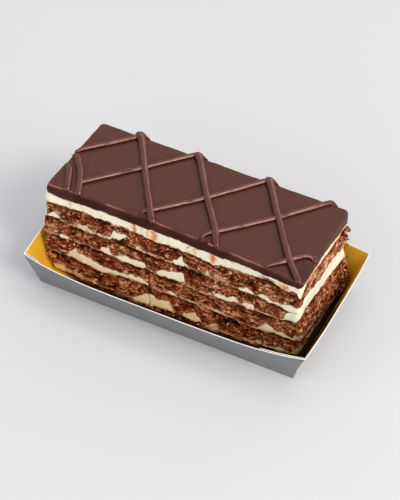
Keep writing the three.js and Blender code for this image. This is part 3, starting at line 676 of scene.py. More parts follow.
CREAMS = (
    CreamLayer(2.7, 3.8, (
        (-57.3, 1.9, 4.6, 0.8), (-54.8, 1.7, 5, 0.9), (-51, 1.7, 6.6, 0.9), (-49.9, 1.7, 5, 0.5),
        (-47, 1.7, 4.3, 0.45), (-44.8, 1.7, 5.8, 0.75), (-42.6, 1.7, 4.8, 0.6), (-41.5, 1.8, 3.7, 0.4),
        (-37, 1.9, 4.6, 0.45), (-35.6, 1.9, 5.2, 0.4), (-34, 2.3, 3.1, 0.1), (-19.4, 2.3, 3.1, 0.1),
        (-18.6, 2.3, 3.3, 0.6), (-16.6, 2.2, 5, 0.9), (-12.8, 2, 7.3, 1), (-10.2, 2, 8.3, 1),
        (-9.2, 2.6, 7.8, 0.95), (-7.2, 3, 6.9, 0.9), (-4, 3.2, 7.5, 1), (-2.1, 3.1, 7.8, 1),
        (-0.7, 2.9, 6.4, 0.9), (0.3, 2.7, 3.8, 0.4), (1, 2.5, 3.3, 0.1), (3.6, 2.5, 3.3, 0.1),
        (4.2, 3.3, 4.7, 0.9), (6.8, 2.7, 5.9, 1), (8.5, 1.9, 7.1, 1), (9.4, 2.1, 7.6, 1),
        (10.6, 3, 6.2, 1), (11.6, 3.6, 4.9, 0.8), (12.3, 2.4, 3.2, 0.2), (14.8, 1.9, 2.9, 0.3),
        (16.2, 1.7, 4.8, 0.6), (17, 1.7, 5.1, 0.6), (19, 1.7, 4.6, 0.55), (20.2, 1.7, 2.6, 0.4),
        (20.8, 2, 2.8, 0.1), (31.8, 2, 2.8, 0.1), (33.2, 1.7, 2.6, 0.5), (36, 1.7, 3.6, 0.7),
        (37.5, 1.7, 4.1, 0.8), (39.8, 1.7, 2.7, 0.6), (43.1, 1.7, 2.7, 0.6), (46, 1.7, 4.6, 0.9),
        (48.3, 1.7, 3.7, 0.9), (50, 1.7, 2.7, 0.6), (51.2, 1.7, 4.2, 0.8)), (
        (110.6, 1.7, 7.2, 0.9), (112.4, 1.7, 7.8, 0.85), (115, 1.7, 5.2, 0.75), (140, 1.6, 4.8, 0.7),
        (154, 1.8, 4.2, 0.4), (160, 2.7, 3.5, 0.2), (300, 2.7, 3.5, 0.2), (305, 1.9, 4.6, 0.8))),
    CreamLayer(10.8, 11.9, (
        (-57.3, 10.8, 11.5, 0.1), (-49, 11.3, 12, 0.15), (-47.3, 11.6, 12.6, 0.6), (-45.4, 11.3, 14.8, 1),
        (-43.6, 11.1, 16, 1), (-42.6, 11, 17, 1), (-41.6, 10.9, 15.4, 1), (-39.3, 10.8, 14.7, 1),
        (-36.4, 10.5, 14.6, 1), (-33.6, 10.1, 13.5, 1), (-31.7, 9.9, 12.9, 1), (-29.3, 10.3, 12.8, 1),
        (-27, 10.7, 12.8, 0.9), (-24.2, 11.1, 13, 0.85), (-20, 11.6, 14, 0.9), (-17, 11.8, 14.6, 1),
        (-12.9, 12.2, 14.6, 1), (-11.2, 12.3, 13.2, 0.9), (-10.6, 11.8, 12.6, 0.15),
        (-5, 11.6, 12.4, 0.15), (-4.2, 11.7, 13.1, 0.7), (-1.7, 11.7, 13.6, 0.85), (1, 11.7, 13.2, 0.8),
        (1.8, 11.6, 12.3, 0.3), (8, 11.2, 12.2, 0.45), (14, 11.5, 12.3, 0.45), (16.3, 11.5, 13, 0.75),
        (18.6, 11.3, 12.6, 0.8), (20.5, 11, 12.4, 0.75), (22.9, 10.5, 11.3, 0.5), (23.5, 10.6, 11.3, 0.1),
        (32, 9.6, 10.4, 0.1), (33.5, 9.6, 10.6, 0.55), (36.1, 9.9, 12.1, 0.8), (37.5, 10.1, 13.4, 0.85),
        (39.4, 10.3, 14.7, 0.9), (41.2, 10.5, 13.9, 0.85), (43.1, 10.6, 12.8, 0.85), (46, 10.6, 12.8, 0.9),
        (47.8, 10.3, 12.3, 0.9), (50.2, 10.1, 10.9, 0.8), (51, 10.6, 13.2, 0.5)), (
        (112, 11, 13.4, 0.5), (114.5, 11.2, 12.3, 0.4), (119, 11, 12, 0.2), (154, 10.9, 11.6, 0.1),
        (305, 10.8, 11.5, 0.1))),
    CreamLayer(19.7, 20.8, (
        (-57.3, 19.6, 20.4, 0.1), (-50.4, 19.5, 20.3, 0.15), (-49.9, 19.5, 21, 0.8),
        (-48.8, 19.2, 21.5, 0.9), (-47, 19.2, 21.3, 0.9), (-46.1, 19.6, 20.6, 0.5), (-45, 19.6, 20.3, 0.1),
        (-37.4, 19.6, 20.3, 0.35), (-32.9, 19.6, 20.4, 0.5), (-31.7, 19.7, 20.8, 0.9),
        (-31, 19.6, 22.4, 1), (-29.8, 19.6, 23, 1), (-27.6, 19.6, 22.9, 1), (-26.9, 19.7, 20.9, 0.9),
        (-26, 19.6, 20.3, 0.3), (-25.1, 19.5, 20.5, 0.7), (-22.8, 19.4, 22, 1), (-20, 19.3, 22.7, 1),
        (-17.6, 19.2, 22, 1), (-14.8, 19.1, 22.2, 1), (-12.3, 19.8, 22.4, 1), (-11.8, 20.6, 21.9, 0.9),
        (-11.3, 19.4, 20.2, 0.15), (-6.7, 19.1, 19.9, 0.2), (-6.2, 19, 21.2, 0.9), (-4.8, 19, 22.2, 1),
        (-1.2, 19.2, 22.7, 1), (0.7, 19.3, 23.4, 1), (3, 19.5, 23.9, 1), (4.6, 19.9, 24.4, 1),
        (5.4, 20.4, 22.6, 1), (5.9, 19, 19.7, 0.5), (10, 18.5, 19.2, 0.6), (15, 18.3, 19, 0.4),
        (15.8, 18.8, 19.6, 0.6), (17.2, 19, 20.3, 0.85), (18.6, 19, 21, 0.9), (20.5, 19, 21.4, 0.9),
        (22.4, 19, 21.2, 0.85), (24.3, 19.1, 21.1, 0.95), (26.2, 19.5, 22.5, 1), (28, 19.6, 22.4, 1),
        (28.6, 19.8, 20.7, 0.9), (29.4, 19.4, 20.2, 0.2), (30.2, 19.8, 21, 0.8), (31.8, 19.1, 22.2, 1),
        (34.6, 19.1, 21.8, 1), (35.4, 19.8, 20.6, 0.9), (36.2, 19.4, 20.1, 0.15), (40.8, 19.6, 20.3, 0.45),
        (46, 19.8, 20.5, 0.5), (47.6, 20.2, 21, 0.8), (48.4, 20.4, 24.6, 1)), (
        (112, 22.2, 26.15, 1), (118, 23.4, 26.15, 1), (124, 22.6, 26.15, 1), (131, 22.7, 26.15, 1),
        (154, 22, 26.15, 1), (160, 19.8, 20.6, 0.2), (305, 19.6, 20.4, 0.1))),
    CreamLayer(27.3, 28.4, (
        (-57.3, 27.2, 28, 0.3), (-56, 27.6, 28.6, 0.6), (-55.6, 27.9, 29, 0.8), (-54, 28, 30.3, 1),
        (-52.4, 28.1, 30.3, 1), (-50.8, 28.2, 29.3, 0.8), (-50.2, 27.2, 27.9, 0.4), (-46, 26.9, 27.6, 0.3),
        (-44.8, 26.8, 27.9, 0.5), (-42.6, 26.8, 28.4, 0.5), (-40, 26.8, 29.3, 0.55),
        (-38.8, 26.9, 30, 0.55), (-37.4, 26.8, 28.6, 0.5), (-35, 26.7, 27.9, 0.5), (-34.2, 27, 27.7, 0.2),
        (-33, 27, 27.9, 0.55), (-27.9, 26.9, 28.2, 0.6), (-27.3, 28.1, 30.5, 1), (-27, 28.1, 32.6, 1),
        (-25.6, 28.2, 31.9, 1), (-24.5, 28.3, 32, 1), (-23.2, 28.9, 32.1, 1), (-21.7, 30.6, 32.2, 1),
        (-20.9, 31.3, 32, 0.9), (-20.3, 27.3, 28, 0.2), (-17, 27.2, 27.9, 0.2), (-16.4, 27.2, 28.8, 0.65),
        (-15, 27.2, 29, 0.65), (-14, 27, 28.2, 0.45), (-10, 26.9, 28.1, 0.5), (-5, 26.8, 28.2, 0.5),
        (-3.5, 27, 27.7, 0.2), (-0.6, 27.3, 28, 0.3), (-0.1, 27.9, 29.2, 0.9), (1.2, 27.5, 30, 1),
        (2.4, 27.4, 31.2, 1), (2.8, 27.4, 32.5, 1), (3.4, 27.4, 32.6, 1), (3.8, 27.4, 30.8, 1),
        (5, 27.5, 29.8, 1), (6.2, 27.8, 29.2, 1), (6.8, 27.4, 28.1, 0.3), (13.5, 27.2, 27.9, 0.2),
        (14.1, 27.4, 30.4, 0.65), (14.6, 27.4, 31.2, 0.75), (15.2, 27.6, 29.6, 0.65),
        (15.8, 27.2, 27.9, 0.2), (27.6, 27, 27.7, 0.2), (28.4, 27.3, 28.4, 0.8), (29.6, 27.1, 28.8, 0.9),
        (31.8, 27.1, 29.8, 1), (33.2, 27.1, 29, 0.95), (34.6, 27.5, 28.2, 0.7), (35.4, 27, 27.7, 0.3),
        (36, 27.4, 28.3, 0.9), (37, 27, 29.1, 1), (39.8, 26.8, 29.8, 1), (40.8, 26.7, 28.6, 0.95),
        (43.1, 26.6, 27.8, 0.9), (46, 26.3, 28.3, 0.9), (47.6, 26.1, 29, 1)), (
        (112, 26.1, 29.6, 1), (114, 26.1, 31.4, 1), (117, 26.1, 32, 1), (121, 26.1, 31.3, 1),
        (127, 26.1, 29.6, 1), (132, 26.1, 29.2, 1), (136, 26.1, 30, 1), (143, 26.1, 30.1, 1),
        (150, 26.1, 29.4, 1), (154, 26.1, 27.6, 1), (160, 27.5, 28.2, 0.2), (305, 27.2, 28, 0.3))),
    CreamLayer(35.3, 39.4, (
        (-57.3, 35.1, 39.6, 1), (-50, 35, 38.9, 1), (-46.5, 34.9, 38.8, 1), (-40, 35.3, 39.2, 1),
        (-20, 35, 39.1, 1), (-10, 34.6, 39.1, 1), (-2, 34.9, 39.3, 1), (8, 34.9, 39, 1),
        (13.5, 34.3, 39.2, 1), (16.7, 33.8, 39.2, 1), (18.8, 34.9, 39.3, 1), (22, 35.5, 39.4, 1),
        (26.2, 36.1, 40.2, 1), (31.8, 36.6, 40.1, 1), (36, 37.1, 39.9, 1), (40.3, 38.2, 39.9, 1),
        (42.6, 37.2, 40, 1), (46.9, 36.3, 40.1, 1), (49.7, 37.5, 40.3, 1), (51.6, 37.4, 40.8, 1),
        (52.4, 35.2, 41, 1), (53.4, 34.2, 41.3, 1)), (
        (111.6, 34.6, 41.7, 1), (112.8, 37.8, 41.8, 1), (114.2, 40.6, 42, 1), (122, 41, 42.4, 1),
        (126, 40.3, 42.4, 1), (130, 40.5, 42.6, 1), (135, 40.1, 42.4, 1), (140, 39.4, 41.5, 1),
        (145, 39.6, 41, 1), (150, 39.9, 40.9, 1), (154, 39, 40.6, 1), (162, 36, 39.6, 1),
        (260, 35.4, 39.4, 1), (290, 35.8, 39.6, 1), (305, 35.1, 39.6, 1))),
)


def random_stream(seed: int) -> Callable[[], float]:
    """A repeatable stream of numbers from 0 to 1, the one that spread the solids' pockets.

    Args:
        seed: Which stream.

    Returns:
        A function that gives the next number.
    """
    mask = 0xFFFFFFFF
    state = seed

    def draw() -> float:
        """Steps the state and mixes its bits.

        Returns:
            The next number.
        """
        nonlocal state
        state = (state + 0x6D2B79F5) & mask
        mixed = ((state ^ state >> 15) * (state | 1)) & mask
        mixed ^= (mixed + (((mixed ^ mixed >> 7) * (mixed | 61)) & mask)) & mask
        return ((mixed ^ mixed >> 14) & mask) / 2**32

    return draw


@dataclass
class LayerStack:
    """The sponge sheets and cream layers of the block.

    Seams are numbered from the foot, 0, over the lower and upper seam of each cream in turn.
    Spans are distances round the block from its front left corner.
    """

    block: CakeBlock
    creams: tuple[CreamLayer, ...] = CREAMS
    seed: int = 7
    loose_layers: int = 4
    loose_spans: tuple[tuple[float, float, int], ...] = ((160, 260, 8), (270, 304, 3))
    loose_half: tuple[float, float] = (2.5, 7.0)
    loose_sink: float = 0.9
    loose_rise: float = 2.4
    level_inset: float = 7.0
    cap_insets: tuple[float, ...] = (7.0, 3.0, 1.4, 0.7, 0.3)
    row_height: float = 0.26
    fewest_rows: int = 6
    thinnest: float = 0.12
    relief_fade: float = 0.5
    outline_height: float = 30.0
    noise_step: float = 37.0
    joined_seams: tuple[int, int] = (6, 7)
    joined_span: tuple[float, float] = (109.0, 155.0)
    courses: list[Array] = field(init=False)
    pockets: list[list[Pocket]] = field(init=False)
    along: Array = field(init=False)
    across: Array = field(init=False)
    outward: Array = field(init=False)
    walk: Array = field(init=False)

    def __post_init__(self) -> None:
        """Lays out the columns and the creams' courses and draws the loose pockets."""
        self.along, self.across, self.outward = self.block.outline()
        lengths = [math.dist(self.block.crown[i], self.block.crown[(i + 1) % 4]) for i in range(4)]
        side = np.argmax(self.outward @ np.array([[0, 1, 0, -1], [-1, 0, 1, 0]]), axis=-1)
        shares = np.stack([self.along, self.across, 1 - self.along, 1 - self.across])
        before = np.concatenate([[0], np.cumsum(lengths)[:-1]])
        share = shares[side, np.arange(len(side))]
        self.walk = before[side] + np.array(lengths)[side] * share
        self.courses = [cream.course(self.block.crown[0][0]) for cream in self.creams]
        self.pockets = self.draw_pockets()

    def draw_pockets(self) -> list[list[Pocket]]:
        """Draws every cream's pockets on the back and the left end from the seeded stream.

        Returns:
            The pockets of each cream. The top one has none.
        """
        draw = random_stream(self.seed)
        everything: list[list[Pocket]] = [[] for _ in self.creams]
        for found, cream in zip(everything[: self.loose_layers], self.creams):
            for start, end, count in self.loose_spans:
                for i in range(count):
                    half = lerp(*self.loose_half, draw())
                    at = lerp(start, end, (i + draw()) / count)
                    low = cream.low - self.loose_sink * draw()
                    high = cream.high + self.loose_rise * draw()
                    found.append(Pocket(at, half, low, high))
        return everything

    def within(self, span: tuple[float, float]) -> Array:
        """Which columns lie in a span."""
        return (self.walk > span[0]) & (self.walk < span[1])

    def seam(self, number: int) -> Array:
        """Height of a seam at every column on the side.

        It follows the layer's course, and each pocket pulls it to the pocket's own height by
        its fill. A ragged noise is added, which is livelier where the cream is clean, and which
        a step in height makes another one for each seam. Two creams run together at the right
        end, so there is no noise between them.

        Args:
            number: The seam.

        Returns:
            Heights in millimetres.
        """
        if number == 0:
            return np.full(len(self.walk), self.block.bottom)
        layer, upper = divmod(number - 1, 2)
        at, *heights, clean = self.courses[layer]
        course = np.interp(self.walk, at, heights[upper])
        height = course.copy()
        for pocket in self.pockets[layer]:
            there = lerp(course, pocket.high if upper else pocket.low, pocket.fill(self.walk))
            height = np.maximum(height, there) if upper else np.minimum(height, there)
        places = self.block.place(self.along, self.across, np.full(len(self.walk), self.outline_height))
        places[:, 2] = self.noise_step * number
        ragged = 0.4 * value_noise(places, 1.9, 11) + 0.3 * value_noise(places, 0.8, 12)
        if number in self.joined_seams:
            ragged[self.within(self.joined_span)] = 0
        return height + ragged * lerp(0.45, 0.8, np.interp(self.walk, at, clean))

    def tone(self, layer: int) -> Array:
        """How clean a cream is at every column on the side, from its course and pockets.

        Args:
            layer: The cream, 0 for the lowest.

        Returns:
            Shares from 0 to 1.
        """
        at, _, _, clean = self.courses[layer]
        clean = np.interp(self.walk, at, clean)
        for pocket in self.pockets[layer]:
            clean = np.maximum(clean, 0.8 * smoothstep(pocket.fill(self.walk), 0.0, 0.45))
        return clean

    def level(self, number: int) -> float:
        """Height of a seam where it is level, inside the block.

        Args:
            number: The seam.

        Returns:
            Height in millimetres.
        """
        if number == 0:
            return self.block.bottom
        layer, upper = divmod(number - 1, 2)
        return self.creams[layer].high if upper else self.creams[layer].low

    def surface(
        self, number: int, relief: Callable[[Array], Array], ease: float
    ) -> tuple[Array, list[Array], Array, Array, Array]:
        """The layer between a seam and the next one.

        The rings come in over the underside, climb the side and go in again over the top. On
        the side, the relief pushes each point straight out. Over the caps it fades inwards.

        Args:
            number: The layer's lower seam.
            relief: Gives how far the side stands out at places of shape (rows, columns, 3).
            ease: How far the layer reaches past its seams into its neighbours.

        Returns:
            The points and polygons, the rings (rows, columns, 3), and the distance of their
            points from the lower and from the upper seam (rows, columns).
        """
        low, high = self.seam(number) - ease, self.seam(number + 1) + ease
        high = np.maximum(high, low + self.thinnest)
        inner_low, inner_high = self.level(number) - ease, self.level(number + 1) + ease
        rows = max(self.fewest_rows, round(float(np.median(high - low)) / self.row_height))
        climb = np.linspace(0, 1, rows)
        insets = np.array(self.cap_insets)
        inset = np.concatenate([insets, np.zeros(rows), insets[::-1]])[:, None]
        share = np.concatenate([np.zeros(len(insets)), climb, np.ones(len(insets))])[:, None]
        inward = smoothstep(inset, 0.0, self.level_inset)
        z = lerp(lerp(low, high, share), lerp(inner_low, inner_high, share), inward)
        along, across = self.drawn_in(inset)
        z = z + self.block.dip(along, across, z)
        rings = self.block.place(along, across, z)
        depth = relief(self.block.place(*np.broadcast_arrays(self.along, self.across, z)))
        rings[..., :2] += self.outward * (depth * np.exp(-inset / self.relief_fade))[..., None]
        points, polygons = ring_surface(rings, self.middle(inner_low), self.middle(inner_high))
        thickness = high - low
        return points, polygons, rings, share * thickness, (1 - share) * thickness

    def drawn_in(self, inset: Array) -> tuple[Array, Array]:
        """Shares along and across of rings that are drawn in from the outline by an inset."""
        shrink = [1 - 2 * inset / size for size in (self.block.length, self.block.width)]
        return 0.5 + (self.along - 0.5) * shrink[0], 0.5 + (self.across - 0.5) * shrink[1]

    def middle(self, z: float) -> Array:
        """The middle of the block at a height."""
        half = np.array([0.5])
        return self.block.place(half, half, np.array([z]))[0]


@dataclass(frozen=True)
class Hollow:
    """A hole in the crumb of the front: its middle, its half sizes and its depth."""

    x: float
    z: float
    wide: float
    tall: float
    deep: float


HOLLOWS = (
    Hollow(-32.5, 31.5, 2.6, 1.3, 1.0), Hollow(22.5, 32.6, 5.0, 0.8, 0.8), Hollow(23.0, 7.6, 1.7, 1.8, 1.3),
    Hollow(27.5, 8.2, 1.8, 1.8, 1.2), Hollow(-1.0, 18.0, 2.6, 0.9, 0.9), Hollow(2.6, 26.0, 2.0, 0.8, 0.9),
    Hollow(37.5, 16.8, 1.5, 1.2, 1.1), Hollow(50.0, 31.5, 2.0, 1.4, 0.9), Hollow(-46.0, 7.5, 2.4, 1.2, 0.8))


def on_front(places: Array) -> Array:
    """Whether places lie on the long front side, whose y is between -23 and -15."""
    return places[..., 1] < -10


@dataclass(frozen=True)
class Crack:
    """The wandering crack that runs down the lower front."""

    x: float = -10.4
    low: float = 0.0
    high: float = 19.5
    half: float = 0.32
    deep: float = 0.8

    def depth(self, places: Array) -> Array:
        """Depth by a bell curve across the crack, whose middle wanders with height.

        Args:
            places: Places on the smooth side, shape (..., 3).

        Returns:
            Depths in millimetres, shape (...).
        """
        z = places[..., 2]
        off = places[..., 0] - self.x - 0.7 * value_noise(places * np.array([0, 0, 1]), 4.0, 71)
        open_here = smoothstep(z, self.low, 2.0) * (1 - smoothstep(z, self.high - 3, self.high))
        return self.deep * open_here * np.exp(-((off / self.half) ** 2)) * on_front(places)


CRACK = Crack()
# Pores are about twice as long as they are tall, as the sheets are pressed flat.
CRUMB_FLATNESS = np.array([0.68, 0.68, 1.3])


def crumb_relief(places: Array) -> tuple[Array, Array]:
    """Torn sponge: soft lumps, rough crumbs and the open pores between them.

    The places are first warped by a soft noise. A pore drops by a smooth step of the distance
    to its centre, deeper where another noise is high, and the crumbs are the sum of two finer
    noises. On the front, the hollows and the crack are taken off.

    Args:
        places: Places on the smooth side, shape (..., 3).

    Returns:
        How far the side stands out, about -1.6 to 0.9 mm and less in the hollows, and its tone
        from 0 in the deepest pores to 1 on the tips, whose darkening in pores, hollows and the crack is
        painted shade.
    """
    flat = places * CRUMB_FLATNESS
    warp = np.stack([value_noise(flat, 1.1, 21 + k) for k in range(3)], axis=-1)
    bent = flat + 0.4 * warp
    pore = 1 - smoothstep(cell_noise(bent, 1.45, 31), 0.12, 0.55)
    pore = pore * smoothstep(value_noise(flat, 2.3, 61), -0.5, 0.5)
    pinhole = 1 - smoothstep(cell_noise(bent, 0.75, 41), 0.15, 0.5)
    lumps = value_noise(places, 4.2, 51)
    crumbs = 0.65 * value_noise(bent, 1.35, 52) + 0.35 * value_noise(bent, 0.6, 53)
    depth = 0.35 * lumps + 0.55 * crumbs - 0.9 * pore - 0.22 * pinhole
    hole = np.zeros(places.shape[:-1])
    for hollow in HOLLOWS:
        aside = (bent[..., 0] / CRUMB_FLATNESS[0] - hollow.x) / hollow.wide
        above = (bent[..., 2] / CRUMB_FLATNESS[2] - hollow.z) / hollow.tall
        hole = np.maximum(hole, hollow.deep * (1 - smoothstep(aside**2 + above**2, 0.1, 1.3)))
    hole = hole * on_front(places)
    crack = CRACK.depth(places)
    # Painted shade: the tone drops in the pores, pinholes, hollows and crack, over the crumbs' own varied
    # colour.
    tone = 0.62 + 0.42 * crumbs - 0.42 * pore - 0.16 * pinhole - 0.3 * hole - 0.3 * crack + 0.1 * lumps
    return depth - hole - crack, np.clip(tone, 0, 1)


def knife_relief(places: Array) -> Array:
    """Cut cream: a wide noise for low swells, and one stretched upright where the blade dragged.

    Args:
        places: Places on the smooth side, shape (..., 3).

    Returns:
        How far the side stands out, shape (...).
    """
    streaks = value_noise(places * np.array([1, 1, 0.25]), 0.9, 81)
    swells = value_noise(places, 4.0, 82)
    return 0.2 * swells + 0.12 * streaks - 0.05 - CRACK.depth(places)


@dataclass(frozen=True)
class Stain:
    """A coffee or chocolate mark on the top cream's front: an oval's middle and half sizes.

    By default it is a streak that runs down the whole layer.
    """

    x: float
    half: float
    strength: float
    z: float = 37.0
    tall: float = 4.0


STAINS = (
    Stain(-47.2, 1.0, 0.45), Stain(-35.0, 0.6, 0.4, 37.6, 0.8), Stain(-33.0, 0.7, 0.45, 36.6, 0.8),
    Stain(-19.0, 1.2, 0.95), Stain(-15.6, 0.7, 0.35), Stain(-12.8, 0.9, 0.55), Stain(-10.0, 2.2, 0.8),
    Stain(4.6, 0.9, 0.8, 37.4, 1.0), Stain(5.8, 0.6, 0.7, 36.4, 0.7), Stain(7.8, 1.0, 0.5),
    Stain(15.4, 1.8, 0.85), Stain(21.0, 0.6, 0.3), Stain(31.0, 0.6, 0.35, 39.2, 0.8), Stain(45.8, 3.0, 0.75))
SMEARS = (
    Stain(38.9, 4.6, 1.0, 37.9, 1.5), Stain(47.4, 0.8, 0.6, 38.6, 0.8), Stain(4.4, 0.5, 0.35, 37.6, 0.5),
    Stain(-54.0, 1.6, 0.8, 39.3, 0.9), Stain(-49.6, 1.9, 0.8, 39.0, 1.1), Stain(-31.0, 1.4, 0.6, 39.3, 0.7),
    Stain(-5.0, 1.6, 0.6, 39.3, 0.8), Stain(24.0, 1.5, 0.6, 39.6, 0.7))


@dataclass
class CakeLayers:
    """Builds and dresses the sheets and the creams between them.

    The fourth sheet ends short of the right cut, where the creams below and above it meet. The
    top cream is squeezed out over the left end in a bulge.
    """

    stack: LayerStack
    sponge: bpy.types.Material
    creams: Sequence[bpy.types.Material]
    overlap: float = 0.06
    short_sheet: int = 3
    short_end: float = 48.3
    short_pull: float = 4.5
    joined_creams: tuple[int, int] = (2, 3)
    joined_span: tuple[float, float] = (106.0, 156.0)
    top_cream: int = 4
    bulge_span: tuple[float, float] = (-56.5, -52.5)
    bulge_height: float = 37.2
    bulge_half: float = 1.9
    far_off: float = 9.0

    def build_sponge(self, layer: int) -> bpy.types.Object:
        """Builds one sheet of sponge.

        Cream is smeared over it in patches, thickest by an exponential of the distance to the
        nearest seam. Painted shade darkens it under its upper seam, and painted light makes it paler at the
        right end, most of all low down.

        Args:
            layer: 0 for the lowest.

        Returns:
            The piece, which stands for the frame's sponge of that number.
        """
        tones = []

        def relief(places: Array) -> Array:
            """The crumb, pulled in where the sheet ends short of the cut.

            Args:
                places: Places on the smooth side.

            Returns:
                How far the side stands out.
            """
            depth, tone = crumb_relief(places)
            tones.append(tone)
            if layer == self.short_sheet:
                over = places[..., 0] - self.short_end
                depth = np.where(over > 0, -np.clip(over * 2, 0, self.short_pull), depth)
            return depth

        points, polygons, rings, from_low, from_high = self.stack.surface(2 * layer, relief, 0.0)
        near_seam = np.minimum(from_low, from_high) if layer else from_high
        patch = smoothstep(value_noise(rings * np.array([0.6, 0.6, 1.4]), 2.4, 91), -0.1, 0.6)
        speck = smoothstep(value_noise(rings, 0.8, 92), 0.1, 0.8)
        smear = np.clip(0.65 * patch * np.exp(-near_seam / 0.7) + 0.2 * patch * speck, 0, 0.9)
        # Painted shade under the cream above, and painted light at the right end that is strongest near the
        # foot, both go into the tone.
        shade = 0.46 * np.exp(-from_high / 0.9) * (1 - 0.7 * patch)
        painted_end_light = lerp(0.14, 0.05, smoothstep(rings[..., 2], 5.0, 13.0)) * smoothstep(rings[..., 0], 50.5, 52.0)
        marks = {
            Mark.TONE: np.clip(tones[0] - shade + painted_end_light, 0, 1),
            Mark.SMEAR: smear * smoothstep(tones[0], 0.25, 0.6),
        }
        name = f"sponge_sheet_{layer + 1}"
        piece = make_piece(name, points, polygons, [self.sponge], marks)
        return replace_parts(piece, f"sponge_{layer + 1}")

    def build_cream(self, layer: int) -> bpy.types.Object:
        """Builds one layer of cream.

        It is as clean as its course says, and crumbs tan it near its seams, but not at the
        glaze nor where two creams meet.

        Args:
            layer: 0 for the lowest.

        Returns:
            The piece, which stands for the frame's cream of that number.
        """
        clean = self.stack.tone(layer)
        film = 1 - smoothstep(clean, 0.3, 0.6)
        is_top = layer == self.top_cream
        tones = []

        def relief(places: Array) -> Array:
            """The knife's marks on clean cream, and the crumb of its neighbours on the film.

            Args:
                places: Places on the smooth side.

            Returns:
                How far the side stands out.
            """
            crumbs, tone = crumb_relief(places)
            tones.append(tone)
            depth = lerp(knife_relief(places), crumbs - 0.1, film)
            return depth + self.bulge(places) if is_top else depth

        points, polygons, rings, from_low, from_high = self.stack.surface(2 * layer + 1, relief, self.overlap)
        near_seam = from_low if is_top else np.minimum(from_low, from_high)
        if layer in self.joined_creams:
            near_seam = np.where(self.stack.within(self.joined_span), self.far_off, near_seam)
        wander = 0.55 * value_noise(rings * np.array([0.7, 0.7, 1.2]), 1.5, 94)
        cleaner = clean * smoothstep(near_seam + wander, -0.15, 0.75)
        cleaner = cleaner * lerp(smoothstep(tones[0], 0.0, 0.5), 1.0, clean)
        marks = {
            Mark.CLEAN: np.append(cleaner, [1, 1]),
            Mark.TONE: tones[0],
            Mark.STAIN: is_top * np.maximum(self.spots(STAINS, rings), self.end_stain(rings)),
            Mark.SMEAR: is_top * self.spots(SMEARS, rings),
        }
        name = f"cream_layer_{layer + 1}"
        piece = make_piece(name, points, polygons, [self.creams[layer]], marks)
        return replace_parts(piece, f"cream_{layer + 1}")

    def bulge(self, places: Array) -> Array:
        """How far the top cream is squeezed out over the left end: a noisy bell over its height.

        Args:
            places: Places on the smooth side.

        Returns:
            How much further the side stands out.
        """
        over_end = 1 - smoothstep(places[..., 0], *self.bulge_span)
        height = np.exp(-(((places[..., 2] - self.bulge_height) / self.bulge_half) ** 2))
        return over_end * height * (1.1 + 0.8 * value_noise(places, 2.2, 99))

    def spots(self, stains: tuple[Stain, ...], rings: Array) -> Array:
        """Marks on the top cream's front, and the same on its back: ovals with a frayed outline.

        Args:
            stains: The marks.
            rings: Places of its points.

        Returns:
            Strengths from 0 to 1.
        """
        at_back = self.stack.outward[:, 1] > 0.5
        x = np.where(at_back, -rings[..., 0], rings[..., 0])
        bent = x + 0.7 * value_noise(rings, 1.6, 95) + 0.4 * value_noise(rings, 0.7, 97)
        lift = rings[..., 2] + 0.5 * value_noise(rings, 1.3, 98)
        total = np.zeros(rings.shape[:2])
        for stain in stains:
            off = np.hypot((bent - stain.x) / stain.half, (lift - stain.z) / stain.tall)
            total = np.maximum(total, stain.strength * (1 - smoothstep(off, 0.2, 1.25)))
        return total * (at_back | on_front(rings))

    def end_stain(self, rings: Array) -> Array:
        """Crumbs smeared over the top cream's right end.

        By smooth steps along y they lie in a band behind its front corner and, in the patches of
        a noise, beyond it.

        Args:
            rings: Places of its points.

        Returns:
            Strengths from 0 to 1.
        """
        patches = smoothstep(value_noise(rings, 3.0, 96), -0.3, 0.4)
        y = rings[..., 1]
        corner = lerp(0.65, 0.9, patches) * smoothstep(y, -18.0, -15.5) * (1 - smoothstep(y, -6.0, -2.0))
        beyond = patches * (0.4 * smoothstep(y, 4.0, 8.0) + 0.4 * smoothstep(y, 11.0, 16.0))
        return np.maximum(corner, beyond) * (rings[..., 0] > 51.6)


